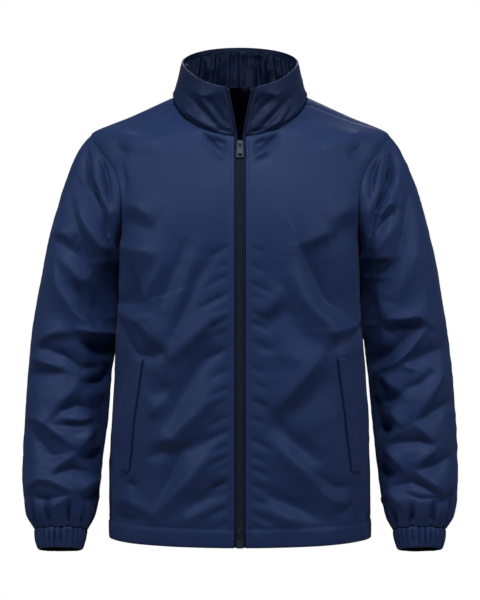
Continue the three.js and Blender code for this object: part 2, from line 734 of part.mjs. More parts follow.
function cuffSolid(side) {
  const around = 4 * cuffGathers;
  const outline = sleeveOutlines[sleeveOutlines.length - 1];
  const base = sleeveDepths[sleeveDepths.length - 1];
  const lean = degrees(base.lean);
  const toFront = new THREE.Vector3(0, -Math.cos(lean), Math.sin(lean));
  const down = new THREE.Vector3(0, -Math.sin(lean), -Math.cos(lean));
  const walls = [0, clothWall].map((depth) =>
    cuffRings.map((ring) =>
      Array.from({ length: around }, (_, c) => {
        const angle = (2 * Math.PI * c) / around;
        const groove = c % 4 === 0 ? cuffGatherDepth : c % 2 === 0 ? 0 : cuffGatherDepth * cuffSlope;
        const shrink = groove + depth;
        const halfWidth = (ring.outerX - ring.innerX) / 2 - shrink;
        const middle = new THREE.Vector3((ring.outerX + ring.innerX) / 2, base.middleY, outline.outerZ);
        middle.addScaledVector(down, ring.drop + seamGap);
        middle.x += halfWidth * Math.cos(angle);
        middle.addScaledVector(toFront, (ring.halfDepth - shrink) * Math.sin(angle));
        return mirrored(middle, side);
      }),
    ),
  );
  return wallGeometry(walls[0], walls[1], true);
}

for (const [name, side] of [['left', -1], ['right', 1]]) {
  for (const [part, geometry] of Object.entries(sleeveSolids(side))) {
    addMesh(`sleeve_${name}_${part}`, geometry, clothColour);
  }
  addMesh(`cuff_${name}`, cuffSolid(side), clothColour);
}

// Collar

// The collar has a column for each column of the panels below it, so that the seam stays even
function neckShares() {
  const front = frontAngles(neckLevel);
  const back = backAngles(neckLevel);
  const start = front[0];
  const end = 2 * Math.PI - start;
  const angles = [...front, ...back.slice(1, -1), ...[...front].reverse().map((a) => 2 * Math.PI - a)];
  return angles.map((angle) => (angle - start) / (end - start));
}

function collarGrid() {
  return collarRows.map((height) => {
    const loop = collarLoop(height);
    const start = angleAtX(loop, loop.opening);
    return neckShares().map((share) => {
      const point = loopPoint(loop, start + share * (2 * Math.PI - 2 * start));
      point.z += collarSeamGap;
      return point;
    });
  });
}

const collarBase = collarGrid();
const collarNormals = gridNormals(collarBase, false);
const collarInner = offsetGrid(collarBase, collarNormals, -clothWall);
addMesh('collar_outer', wallGeometry(collarBase, collarInner, false), clothColour);

function liningDepth(r, c, columns) {
  const free = c > 1 && c < columns - 2 && r < collarRows.length - 2;
  return clothWall + layerGap + (free && c % 2 === 0 ? liningGatherDepth : 0);
}
const liningOuter = collarBase.map((row, r) =>
  row.map((point, c) =>
    point.clone().addScaledVector(collarNormals[r][c], -liningDepth(r, c, row.length)),
  ),
);
const liningInner = offsetGrid(liningOuter, collarNormals, -clothWall);
addMesh('collar_lining', wallGeometry(liningOuter, liningInner, false), liningColour);

// Tape inside the back of the neck

const middleColumn = backColumns / 2;
const topRows = [levels.length - 2, levels.length - 1];
function neckTapeGrid(depth) {
  return [neckTape.from, neckTape.to].map((share) =>
    neckTape.columns.map((step) => {
      const [low, high] = topRows.map((r) => backPanel.inner[r][middleColumn + step]);
      const normal = backPanel.normals[topRows[1]][middleColumn + step];
      return low.clone().lerp(high, share).addScaledVector(normal, -depth);
    }),
  );
}
addMesh(
  'neck_tape',
  wallGeometry(neckTapeGrid(neckTape.gap), neckTapeGrid(neckTape.gap + neckTape.wall), false),
  tapeColour,
);

// Zip

function frontLinePoint(x, z) {
  return new THREE.Vector3(x, readColumn(bodyMiddles, 'frontZ', 'frontY', z), z);
}

// A point beside the collar's front edge, a distance in from it towards the opening
function collarEdgePoint(share, inFromEdge) {
  const loop = collarLoop(share);
  const point = loopPoint(loop, angleAtX(loop, loop.opening - inFromEdge));
  point.z += seamGap;
  return point;
}

// Rows of points from one height on the front line up to a share of the collar's height
function zipRows(bottomZ, topShare, nearIn, farIn) {
  const rows = [];
  const neckZ = bodyMiddles[bodyMiddles.length - 1].frontZ;
  const steps = Math.max(1, Math.round((neckZ - bottomZ) / zipStep));
  for (let step = 0; step <= steps; step += 1) {
    const z = bottomZ + ((neckZ - bottomZ) * step) / steps;
    rows.push([nearIn, farIn].map((inset) => frontLinePoint(panelEdge - inset, z)));
  }
  const shares = collarRows.filter((share) => share > 0 && share < topShare);
  for (const share of [...shares, topShare]) {
    rows.push([nearIn, farIn].map((inset) => collarEdgePoint(share, inset)));
  }
  return rows;
}

function stripSolid(rows, rise, wall, side) {
  const base = rows.map((row) => row.map((point) => mirrored(point, side)));
  const normals = gridNormals(base, false).map((row) =>
    row.map((normal) => (normal.y > 0 ? normal.negate() : normal)),
  );
  return wallGeometry(offsetGrid(base, normals, rise), offsetGrid(base, normals, rise - wall), false);
}

const tapeFar = tapeInset + tapeWidth;
const coilNear = tapeFar + seamGap;
for (const [name, side] of [['left', -1], ['right', 1]]) {
  const tapeRows = zipRows(hemLevel, 1, tapeInset, tapeFar);
  addMesh(`zip_tape_${name}`, stripSolid(tapeRows, -tapeRecess, tapeWall, side), tapeColour);
  const coilRows = zipRows(openCoilBottomZ, openCoilTopShare, coilNear, coilNear + coilWidth);
  addMesh(`zip_coil_${name}`, stripSolid(coilRows, coilRise, coilWall, side), coilColour);
}

const chainSteps = Math.round((chainTopZ - chainBottomZ) / zipStep);
const chainRows = Array.from({ length: chainSteps + 1 }, (_, step) => {
  const z = chainBottomZ + ((chainTopZ - chainBottomZ) * step) / chainSteps;
  return [-chainHalfWidth, chainHalfWidth].map((x) => frontLinePoint(x, z));
});
addMesh('zip_chain', stripSolid(chainRows, coilRise, coilWall, 1), coilColour);

// A plate cut from an outline in its width and height, between two depths
function plateFrom(shape, depth) {
  const geometry = new THREE.ExtrudeGeometry(shape, {
    depth: depth.to - depth.from,
    bevelEnabled: false,
    curveSegments: roundSteps,
  });
  geometry.rotateX(Math.PI / 2);
  return geometry.translate(0, depth.to, 0);
}

function roundedOutline(Kind, halfWidth, bottom, top, corner) {
  const outline = new Kind();
  outline.moveTo(-halfWidth + corner, bottom);
  outline.lineTo(halfWidth - corner, bottom);
  outline.absarc(halfWidth - corner, bottom + corner, corner, -Math.PI / 2, 0, false);
  outline.lineTo(halfWidth, top - corner);
  outline.absarc(halfWidth - corner, top - corner, corner, 0, Math.PI / 2, false);
  outline.lineTo(-halfWidth + corner, top);
  outline.absarc(-halfWidth + corner, top - corner, corner, Math.PI / 2, Math.PI, false);
  outline.lineTo(-halfWidth, bottom + corner);
  outline.absarc(-halfWidth + corner, bottom + corner, corner, Math.PI, 1.5 * Math.PI, false);
  return outline;
}

function block(x, y, z) {
  const geometry = new THREE.BoxGeometry(x.to - x.from, y.to - y.from, z.to - z.from);
  return geometry.translate((x.to + x.from) / 2, (y.to + y.from) / 2, (z.to + z.from) / 2);
}

function around(half) {
  return { from: -half, to: half };
}

function toSolid(geometry) {
  const bare = geometry.clone();
  bare.deleteAttribute('normal');
  bare.deleteAttribute('uv');
  const merged = mergeVertices(bare, 1e-4);
  return new wasm.Manifold(
    new wasm.Mesh({
      numProp: 3,
      vertProperties: new Float32Array(merged.getAttribute('position').array),
      triVerts: new Uint32Array(merged.getIndex().array),
    }),
  );
}

function joined(geometries) {
  const mesh = geometries.map(toSolid).reduce((whole, next) => whole.add(next)).getMesh();
  const geometry = new THREE.BufferGeometry();
  geometry.setAttribute('position', new THREE.Float32BufferAttribute(mesh.vertProperties, 3));
  geometry.setIndex([...mesh.triVerts]);
  return geometry;
}

// Turns a fitting made in its own frame so that its height runs along the front line, at a height
function seatOnFront(geometry, z) {
  const reach = sliderHalfHeight;
  const rise = frontLinePoint(0, z + reach).sub(frontLinePoint(0, z - reach));
  const place = frontLinePoint(0, z);
  return geometry.rotateX(-Math.atan2(rise.y, rise.z)).translate(place.x, place.y, place.z);
}

function sliderOutline() {
  const outline = new THREE.Shape();
  outline.moveTo(-sliderLowHalfWidth, -sliderHalfHeight);
  outline.lineTo(sliderLowHalfWidth, -sliderHalfHeight);
  outline.lineTo(sliderTopHalfWidth, sliderWidest.from * sliderHalfHeight);
  outline.lineTo(sliderTopHalfWidth, sliderWidest.to * sliderHalfHeight);
  outline.lineTo(sliderCrown * sliderTopHalfWidth, sliderHalfHeight);
  outline.lineTo(-sliderCrown * sliderTopHalfWidth, sliderHalfHeight);
  outline.lineTo(-sliderTopHalfWidth, sliderWidest.to * sliderHalfHeight);
  outline.lineTo(-sliderTopHalfWidth, sliderWidest.from * sliderHalfHeight);
  return outline;
}

const bridgeOut = frontPlate.from - tunnelHeight - bridgeBar;
const bridgeFeet = [-1, 1].map((way) => {
  const near = pivotHeight + way * tunnelHalfLength;
  const far = near + way * bridgeBar;
  const height = { from: Math.min(near, far), to: Math.max(near, far) };
  return block(around(bridgeHalfWidth), { from: bridgeOut, to: frontPlate.to }, height);
});
const bridgeTop = block(
  around(bridgeHalfWidth),
  { from: bridgeOut, to: bridgeOut + bridgeBar },
  {
    from: pivotHeight - tunnelHalfLength - bridgeBar,
    to: pivotHeight + tunnelHalfLength + bridgeBar,
  },
);
const slider = joined([
  plateFrom(sliderOutline(), frontPlate),
  block(around(backPlate.halfWidth), backPlate, around(backPlate.halfHeight)),
  block(
    around(post.halfWidth),
    { from: frontPlate.to, to: backPlate.to },
    { from: post.bottom, to: post.top },
  ),
  ...bridgeFeet,
  bridgeTop,
]);
addMesh('zip_slider', seatOnFront(slider, sliderZ), metalColour, 0.8);

const tabShape = roundedOutline(THREE.Shape, tabHalfWidth, -tabLength, tabTop, tabCorner);
for (const gap of [tabSlot, tabHole]) {
  tabShape.holes.push(roundedOutline(THREE.Path, gap.halfWidth, gap.bottom, gap.top, gap.corner));
}
const pivotDepth = frontPlate.from - tunnelHeight / 2;
const tab = plateFrom(tabShape, { from: pivotDepth - tabWall / 2, to: pivotDepth + tabWall / 2 });
tab.translate(0, 0, pivotHeight);
addMesh('zip_pull', seatOnFront(tab, sliderZ), metalColour, 0.8);

const boxHeight = { from: hemLevel, to: boxTopZ };
const box = joined([
  block(around(boxHalfWidth), { from: -boxFront, to: -boxStep }, boxHeight),
  block(around(boxCoreHalfWidth), { from: -boxFront / 2, to: boxBack }, boxHeight),
]);
addMesh('zip_box', box.translate(0, frontLinePoint(0, boxTopZ).y, 0), metalColour, 0.8);

for (const [name, side] of [['left', -1], ['right', 1]]) {
  const inset = coilNear + coilWidth - stopSize.width / 2;
  const up = collarEdgePoint(1, inset).sub(collarEdgePoint(openCoilTopShare, inset)).normalize();
  const place = collarEdgePoint(stopShare, inset);
  const stop = new THREE.BoxGeometry(stopSize.width, stopSize.depth, stopSize.height);
  stop.rotateY(Math.atan2(up.x, up.z)).translate(place.x, place.y, place.z);
  addMesh(`zip_stop_${name}`, side > 0 ? stop : mirroredGeometry(stop), metalColour, 0.8);
}

export default jacket;
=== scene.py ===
"""A hip-length windbreaker with a stand collar, filled out with no wearer in it.

Tables and helper functions work in millimetres and the finished meshes are in metres.
+Z is up, the front faces -Y, and left is -X. Z = 0 is the side neck point, where it is held.
"""

import json
import math

import bpy
import numpy as np
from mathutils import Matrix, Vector

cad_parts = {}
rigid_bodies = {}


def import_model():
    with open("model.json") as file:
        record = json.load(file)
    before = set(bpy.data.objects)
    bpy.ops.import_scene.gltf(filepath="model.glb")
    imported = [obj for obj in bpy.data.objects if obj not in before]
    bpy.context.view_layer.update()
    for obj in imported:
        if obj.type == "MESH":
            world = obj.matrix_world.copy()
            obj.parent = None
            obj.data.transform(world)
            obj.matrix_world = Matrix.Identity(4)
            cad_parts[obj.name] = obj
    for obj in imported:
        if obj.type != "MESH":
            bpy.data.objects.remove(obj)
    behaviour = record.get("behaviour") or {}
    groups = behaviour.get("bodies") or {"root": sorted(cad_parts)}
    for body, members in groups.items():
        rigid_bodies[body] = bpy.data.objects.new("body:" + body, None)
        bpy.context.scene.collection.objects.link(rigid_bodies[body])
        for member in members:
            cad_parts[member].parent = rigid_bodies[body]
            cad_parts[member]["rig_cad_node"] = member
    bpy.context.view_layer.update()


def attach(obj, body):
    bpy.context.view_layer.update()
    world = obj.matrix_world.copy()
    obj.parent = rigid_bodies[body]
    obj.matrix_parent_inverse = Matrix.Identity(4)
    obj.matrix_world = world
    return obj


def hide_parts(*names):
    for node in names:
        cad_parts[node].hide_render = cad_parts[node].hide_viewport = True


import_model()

bl_info = {
    "name": "Windbreaker jacket",
    "version": (1, 0, 0),
    "blender": (4, 5, 0),
    "location": "View3D > Sidebar > Jacket",
    "description": "Sews a filled-out windbreaker over its frame, with its zip, stitching and stage",
    "category": "Add Mesh",
}

MM = 0.001
LEAST_FLAT = 0.011
SIDES = (("left", -1), ("right", 1))


def columns_of(names, rows):
    """A table as arrays by column name."""
    return dict(zip(names.split(), np.array(rows, float).T))


# Levels of the body, at its side line
HEM_LEVEL = -690
ARMPIT_LEVEL = -229
SHOULDER_LEVEL = -60
NECK_LEVEL = 0
HEM_STITCH_LEVEL = -662

# Middle front and middle back of each body loop. square shapes its outline from above, and bow its turn
# in height.
BODY_MIDDLES = columns_of(
    "level front_y front_z back_y back_z square bow",
    [
        (-690, -140, -690, 128, -690, 2.1, 1.5),
        (-600, -139, -600, 127, -600, 2.1, 1.5),
        (-500, -138, -500, 126, -500, 2.2, 1.5),
        (-400, -137, -400, 126.5, -400, 2.35, 1.5),
        (-300, -136.8, -302, 129.5, -298, 2.55, 1.5),
        (-240, -135, -249, 132.5, -232, 2.65, 1.5),
        (-180, -130, -200, 134, -167, 2.45, 1.5),
        (-120, -120.5, -156, 130.5, -105, 2, 1.5),
        (-60, -105, -112, 116, -45, 1.62, 1.42),
        (-30, -95, -90, 97, -10, 1.78, 1.32),
        (0, -84, -69, 70, 21, 2, 1.2),
    ],
)
BODY_SIDES = columns_of(
    "level side_x side_y",
    [
        (-690, 206, -4),
        (-600, 205, -4),
        (-500, 201.5, -4),
        (-400, 195, -4),
        (-300, 190, -2),
        (-250, 188.2, -0.5),
        (-229, 188.4, 0),
        (-200, 194.5, 1),
        (-160, 205, 2),
        (-110, 218, 4),
        (-60, 236, 5),
        (-30, 172, 5),
        (0, 106, 3),
    ],
)
# Collar loops from the neck seam at share 0 to the top edge, and half its front opening
COLLAR_LOOPS = columns_of(
    "share side_x side_y side_z front_y front_z back_y back_z square bow back_bow opening",
    [
        (0, 106, 3, 0, -84, -69, 70, 21, 2.0, 1.2, 1.2, 8.7),
        (0.5, 98.5, 2, 27, -88, -33, 74, 55, 2.05, 1.25, 1.1, 15.5),
        (1, 92, 0, 54, -91, 2, 76, 88, 2.1, 1.3, 0.95, 24),
    ],
)
# The shoulder seam sits this many degrees forward of the ridge
SHOULDER_SEAM_TURN = columns_of("level turn", [(-60, 0), (-45, 6), (-29, 10), (0, 13)])
ARMHOLE_CUT_FRONT = 29
ARMHOLE_CUT_BACK = 32

# The outer and inner points of each sleeve ring lie on its two outlines seen from the front
SLEEVE_RINGS = columns_of(
    "ring outer_x outer_z inner_x inner_z middle_y half_depth lean",
    [
        (0, 236.5, -60, 188.4, -229, 5, 66, 0),
        (1, 253, -82, 189.3, -240, 5, 69, 0),
        (2, 267, -112, 189.7, -254, 6, 71, 0),
        (3, 279.5, -145, 190.2, -272, 7, 72, 0),
        (4, 291, -184, 191, -294, 8, 71, 0),
        (5, 302, -228, 192.3, -320, 9, 70, 1),
        (6, 311, -272, 194, -348, 9, 69, 2),
        (7, 319, -318, 196, -376, 9, 67, 4),
        (8, 326.5, -366, 198.5, -406, 8, 66, 6),
        (9, 332, -414, 202, -434, 5, 64, 8),
        (10, 336, -460, 205, -468, 1, 63, 9),
        (11, 337.5, -506, 208.5, -508, -5, 62, 10),
        (12, 339.5, -552, 213.5, -552, -12, 60, 11),
        (13, 340, -594, 218, -594, -19, 58, 12),
        (14, 338, -630, 221.5, -630, -26, 56, 13),
        (15, 333, -656, 226.5, -656, -31, 51, 14),
        (16, 320.5, -676, 237, -676, -35, 40.5, 14),
    ],
)
ARMHOLE_BLEND_RINGS = 5
GATHER_START_RING = 13.8
SLEEVE_GATHERS = 10
CUFF_RINGS = columns_of(
    "drop outer_x inner_x half_depth", [(0, 320.5, 237, 40.5), (15, 319, 239, 39), (31, 314, 244, 35)]
)
CUFF_GATHERS = 26

# Each fold: its rise (negative in a trough), the roundness of its crest, how far it reaches above and
# below its line, and the x and z of points on the line, from left to right as seen from the front.
FRONT_FOLDS = [
    (3.8, 4, 10, 7, [(-197, -68), (-135, -73), (-74, -62)]),
    (-5.2, 2.5, 9, 8, [(-197, -73), (-185, -88), (-171, -98)]),
    (4.5, 4, 7, 8, [(-190, -59), (-161, -78), (-125, -89)]),
    (-3.8, 2, 4, 5, [(-184, -105), (-177, -144), (-180, -174)]),
    (6.0, 4, 24, 10, [(-185, -168), (-154, -177), (-122, -199)]),
    (-4.5, 5, 10, 18, [(-187, -200), (-157, -207), (-119, -224)]),
    (11.2, 1, 28, 26, [(-189, -235), (-141, -246), (-107, -257)]),
    (9.0, 2, 9, 14, [(-159, -349), (-132, -296), (-107, -254)]),
    (-13.5, 2, 52, 8, [(-189, -322), (-167, -328), (-140, -320)]),
    (-5.2, 1, 5, 5, [(-185, -348), (-172, -381), (-156, -404)]),
    (4.5, 2, 7, 7, [(-187, -329), (-161, -347), (-135, -347)]),
    (-6.8, 3, 9, 9, [(-124, -337), (-101, -277), (-76, -223)]),
    (7.5, 3, 10, 10, [(-110, -377), (-83, -307), (-62, -241)]),
    (-8.2, 3, 13, 10, [(-112, -395), (-89, -344), (-64, -284), (-28, -241)]),
    (9.8, 3, 18, 10, [(-110, -414), (-62, -368), (-19, -327)]),
    (-9.8, 4, 14, 15, [(-116, -525), (-95, -471), (-65, -422), (-25, -386)]),
    (8.2, 3, 14, 10, [(-113, -536), (-65, -492), (-22, -443)]),
    (-9.0, 3, 11, 14, [(-135, -650), (-89, -546), (-32, -522)]),
    (9.0, 3, 10, 12, [(-145, -658), (-79, -593), (-28, -531)]),
    (-6.8, 3, 12, 8, [(-89, -639), (-52, -618), (-16, -590)]),
    (5.2, 3, 9, 8, [(-86, -654), (-59, -636), (-34, -620)]),
    (6.8, 1.5, 9, 7, [(-162, -346), (-140, -364), (-118, -392)]),
    (-6.8, 1, 13, 6, [(-166, -401), (-135, -406), (-112, -395)]),
    (4.5, 3, 9, 6, [(-141, -337), (-122, -371), (-107, -399)]),
    (-4.5, 4, 10, 10, [(-135, -471), (-119, -458), (-110, -440)]),
    (5.2, 3, 9, 8, [(-135, -499), (-119, -473), (-107, -467)]),
    (5.2, 2.5, 10, 7, [(-127, -530), (-107, -530), (-86, -537)]),
    (-5.2, 3, 8, 9, [(-141, -559), (-119, -548), (-98, -548)]),
    (-5.2, 1.5, 6, 6, [(-172, -595), (-157, -608)]),
    (4.5, 3, 9, 8, [(-197, -626), (-167, -627), (-135, -640)]),
    (-4.5, 3, 8, 8, [(-198, -652), (-171, -653), (-148, -656)]),
    (-4.5, 3, 9, 9, [(-194, -505), (-185, -443), (-174, -389)]),
    (3.8, 4, 10, 7, [(76, -65), (137, -58), (198, -68)]),
    (-4.8, 2.5, 8, 9, [(166, -100), (182, -88), (195, -73)]),
    (4.5, 4, 7, 8, [(124, -89), (159, -78), (189, -61)]),
    (5.2, 4, 22, 10, [(124, -203), (153, -186), (189, -166)]),
    (-4.5, 5, 10, 16, [(130, -227), (159, -212), (185, -200)]),
    (6.8, 3, 18, 9, [(91, -241), (118, -224), (156, -211)]),
    (-15.0, 2, 32, 11, [(89, -230), (109, -272), (132, -317), (159, -344), (185, -360)]),
    (6.0, 3, 10, 12, [(70, -263), (91, -313), (124, -347), (153, -361)]),
    (6.8, 1.5, 14, 6, [(124, -370), (156, -367), (184, -355)]),
    (-8.2, 1, 9, 8, [(138, -397), (159, -378), (184, -365)]),
    (-6.0, 5, 15, 14, [(65, -281), (85, -357), (118, -398)]),
    (10.5, 3, 20, 12, [(40, -492), (77, -456), (107, -419), (132, -389)]),
    (-6.0, 4, 14, 14, [(68, -500), (106, -470), (140, -429)]),
    (-8.2, 3, 12, 14, [(46, -495), (79, -530), (129, -571)]),
    (8.2, 4, 12, 12, [(37, -518), (73, -557), (118, -599), (137, -607)]),
    (-6.0, 1.5, 8, 10, [(103, -572), (141, -603), (167, -604)]),
    (6.0, 3, 8, 9, [(118, -606), (146, -626), (174, -631)]),
    (-8.2, 3, 13, 9, [(29, -605), (76, -627), (127, -651)]),
    (5.2, 3, 9, 8, [(34, -627), (68, -647), (94, -653)]),
    (-5.2, 2, 7, 8, [(146, -643), (161, -637), (174, -625)]),
    (4.5, 3, 10, 10, [(28, -398), (61, -398), (91, -413)]),
    (-5.2, 2, 8, 8, [(22, -395), (43, -395), (67, -399)]),
    (5.2, 3, 12, 8, [(25, -347), (49, -326), (67, -299)]),
    (-4.5, 4, 10, 10, [(34, -372), (55, -347), (76, -327)]),
    (-12.0, 0.8, 4.5, 4.5, [(-58, -62), (-38, -80), (-16, -97)]),
    (5.2, 0.8, 4, 5, [(-58, -73), (-40, -91), (-20, -106)]),
    (-5.2, 1, 3, 4, [(-40, -70), (-16, -85)]),
    (-12.0, 0.8, 4.5, 4.5, [(19, -97), (40, -80), (61, -62)]),
    (5.2, 0.8, 4, 5, [(20, -106), (41, -91), (59, -74)]),
    (-5.2, 1, 3, 4, [(17, -85), (41, -71)]),
    (-3.0, 2, 6, 6, [(19, -110), (34, -106), (43, -97)]),
    (-6.8, 1, 4, 5, [(-109, -41), (-100, -19)]),
    (-6.8, 1, 4, 5, [(100, -17), (107, -40)]),
]
PUCKERS_LEFT = [
    (-238, 21, 2), (-263, 14, 1.4), (-281, 24, 2.4), (-308, 30, 3.4), (-327, 18, 2.2), (-345, 21, 2.8),
    (-363, 16, 2), (-390, 26, 2.6), (-422, 20, 2.4), (-449, 22, 3), (-467, 14, 1.8), (-492, 20, 2.4),
    (-513, 22, 3), (-534, 18, 2.6), (-552, 21, 3), (-566, 14, 2), (-587, 22, 3.2), (-605, 18, 2.2),
    (-627, 20, 2.8), (-650, 15, 2),
]
PUCKERS_RIGHT = [
    (-239, 14, 1.6), (-266, 16, 2), (-293, 20, 2.6), (-311, 12, 1.5), (-336, 18, 2.4), (-351, 15, 2.8),
    (-378, 18, 2), (-419, 14, 1.8), (-440, 18, 2.2), (-467, 20, 2.8), (-495, 15, 2), (-527, 21, 3.4),
    (-551, 16, 2.4), (-569, 20, 3.2), (-593, 15, 2.2), (-614, 18, 2.6), (-636, 21, 3), (-654, 15, 2.2),
]
LEFT_SLEEVE_FOLDS = [
    (5.4, 0.8, 3, 3.5, [(198, -220), (212, -174), (229, -128), (236, -89)]),
    (4.7, 0.8, 3, 3.5, [(209, -144), (218, -114), (227, -86)]),
    (-15.5, 1, 4.5, 5.5, [(198, -228), (210, -184), (223, -155), (232, -129)]),
    (-12.4, 1, 4.5, 5, [(235, -151), (236, -120), (239, -86)]),
    (-10.8, 1, 4, 5, [(201, -166), (210, -120), (216, -89)]),
    (-7.8, 8, 16, 16, [(206, -348), (210, -305), (218, -261)]),
    (-9.3, 6, 14, 16, [(215, -551), (212, -505), (209, -462)]),
    (-4.7, 1, 4, 5, [(233, -154), (235, -117), (241, -77)]),
    (5.4, 1, 5, 5, [(195, -206), (216, -146), (233, -86)]),
    (-5.4, 1, 5, 5, [(193, -188), (209, -141), (226, -89)]),
    (-7.8, 1, 5, 6, [(219, -161), (233, -138)]),
    (-10.1, 1, 7, 13, [(190, -238), (216, -197), (236, -161), (263, -121)]),
    (10.1, 2, 8, 10, [(195, -243), (218, -234), (239, -198), (258, -151)]),
    (-8.5, 2, 9, 8, [(226, -282), (243, -243), (256, -200), (264, -151)]),
    (7.0, 2, 13, 8, [(255, -228), (273, -214), (292, -218)]),
    (-7.0, 2, 10, 8, [(227, -283), (255, -248), (286, -228)]),
    (7.8, 2, 8, 12, [(226, -291), (249, -288), (267, -261), (289, -234)]),
    (8.5, 1, 6, 16, [(199, -372), (229, -362), (258, -334), (278, -298), (287, -258)]),
    (-9.3, 4, 16, 8, [(212, -358), (239, -328), (261, -283)]),
    (9.3, 1, 6, 7, [(198, -372), (230, -369), (256, -363)]),
    (-12.4, 2, 9, 12, [(187, -388), (218, -391), (246, -377)]),
    (8.5, 1.5, 14, 6, [(256, -368), (280, -369), (296, -375), (315, -391)]),
    (-8.5, 1, 8, 8, [(209, -423), (243, -425), (270, -406), (312, -392)]),
    (7.0, 1, 8, 5, [(266, -429), (292, -419), (329, -408)]),
    (-8.5, 1, 8, 12, [(266, -432), (300, -431), (332, -434)]),
    (8.5, 1.5, 14, 7, [(249, -439), (261, -462), (280, -486), (296, -508)]),
    (-10.8, 2, 10, 9, [(192, -426), (213, -446), (230, -449), (247, -446)]),
    (-8.5, 1, 9, 6, [(219, -491), (250, -482), (275, -489), (295, -509)]),
    (5.4, 1, 6, 4, [(224, -500), (250, -505), (275, -500)]),
    (-6.2, 1, 4, 8, [(218, -511), (258, -512), (296, -511)]),
    (8.5, 1, 12, 6, [(250, -551), (273, -531), (296, -512), (310, -505), (330, -503)]),
    (-7.8, 1, 11, 9, [(253, -554), (289, -559), (304, -545), (324, -520)]),
    (-3.1, 1, 3, 4, [(233, -523), (264, -525)]),
    (8.5, 1.5, 11, 8, [(216, -509), (239, -533), (250, -553)]),
    (8.5, 1.5, 13, 7, [(252, -553), (273, -569), (290, -588)]),
    (-8.5, 1, 9, 6, [(221, -591), (256, -579), (276, -583), (290, -593)]),
    (8.5, 1, 11, 6, [(249, -616), (269, -606), (289, -596), (307, -594), (332, -611)]),
    (-7.8, 1, 8, 9, [(253, -616), (292, -625), (329, -623)]),
    (7.0, 1.5, 10, 8, [(216, -594), (236, -605), (250, -616)]),
    (7.0, 1.5, 11, 7, [(252, -616), (273, -626), (293, -640)]),
    (-7.0, 2, 7, 8, [(213, -613), (230, -625), (246, -620)]),
    (-7.8, 2, 10, 8, [(209, -554), (227, -566), (246, -559)]),
]
RIGHT_SLEEVE_FOLDS = [
    (5.4, 0.8, 3.5, 3, [(198, -220), (212, -174), (229, -128), (236, -89)]),
    (4.7, 0.8, 3.5, 3, [(209, -144), (218, -114), (227, -86)]),
    (-15.5, 1, 5.5, 4.5, [(198, -228), (210, -184), (223, -155), (232, -129)]),
    (-12.4, 1, 5, 4.5, [(235, -151), (236, -120), (239, -86)]),
    (-10.8, 1, 5, 4, [(201, -166), (210, -120), (216, -89)]),
    (-7.8, 8, 16, 16, [(206, -360), (212, -320), (216, -283)]),
    (-9.3, 6, 14, 16, [(210, -551), (207, -505), (204, -466)]),
    (-10.1, 1, 6, 8, [(213, -188), (221, -158), (239, -107), (243, -87)]),
    (7.8, 2, 7, 8, [(227, -171), (238, -143), (250, -109)]),
    (8.5, 1, 8, 4, [(213, -192), (227, -172), (243, -174)]),
    (-8.5, 1, 5, 9, [(207, -221), (226, -195), (241, -180)]),
    (6.2, 2, 8, 9, [(207, -251), (223, -225), (235, -192)]),
    (7.0, 1, 12, 5, [(204, -255), (219, -254), (233, -255)]),
    (-5.4, 3, 8, 10, [(204, -274), (219, -271), (235, -261)]),
    (-10.1, 2, 10, 10, [(227, -318), (243, -266), (256, -212), (266, -141)]),
    (7.0, 4, 14, 14, [(235, -326), (253, -282), (272, -237)]),
    (7.8, 1.5, 10, 6, [(212, -292), (216, -323), (223, -349)]),
    (10.8, 1, 14, 6, [(218, -348), (250, -349), (273, -345), (292, -358)]),
    (-10.1, 2, 6, 14, [(219, -363), (250, -366), (287, -363)]),
    (8.5, 1, 5, 6, [(215, -429), (238, -419), (258, -402), (290, -358)]),
    (-11.6, 2, 10, 5, [(201, -425), (232, -399), (263, -371)]),
    (-10.1, 1.5, 14, 10, [(250, -422), (286, -406), (326, -392)]),
    (5.4, 1, 7, 4, [(252, -420), (270, -428)]),
    (8.5, 1, 12, 6, [(218, -434), (233, -449), (249, -466)]),
    (-7.0, 1.5, 6, 8, [(253, -457), (278, -449), (303, -428)]),
    (9.3, 1.5, 15, 8, [(267, -509), (290, -469), (320, -422)]),
    (-7.8, 1, 10, 10, [(266, -511), (306, -488), (329, -476)]),
    (7.8, 1, 10, 6, [(229, -488), (239, -500), (252, -517)]),
    (-7.0, 1.5, 7, 9, [(218, -480), (235, -471), (250, -463)]),
    (8.5, 1, 12, 6, [(267, -506), (281, -523), (300, -542)]),
    (-8.5, 1, 9, 7, [(227, -545), (247, -539), (275, -537), (300, -543)]),
    (5.4, 1.5, 6, 6, [(229, -543), (238, -529), (250, -516)]),
    (8.5, 1, 10, 6, [(224, -545), (239, -563), (255, -585)]),
    (8.5, 1, 11, 7, [(269, -579), (284, -560), (301, -545)]),
    (-7.8, 1, 10, 9, [(267, -580), (306, -573), (332, -556)]),
    (9.3, 1, 12, 6, [(267, -579), (290, -600), (318, -625)]),
    (-8.5, 1, 9, 7, [(227, -610), (261, -599), (284, -605), (318, -625)]),
    (7.8, 1, 10, 6, [(227, -611), (243, -628), (259, -648)]),
    (-3.9, 1, 3, 4, [(247, -613), (275, -623), (309, -623)]),
    (-7.8, 2, 9, 7, [(207, -523), (223, -523), (235, -512)]),
    (-7.8, 2, 9, 7, [(210, -594), (226, -591), (241, -582)]),
    (-6.2, 2, 8, 8, [(300, -631), (318, -628), (333, -616)]),
]
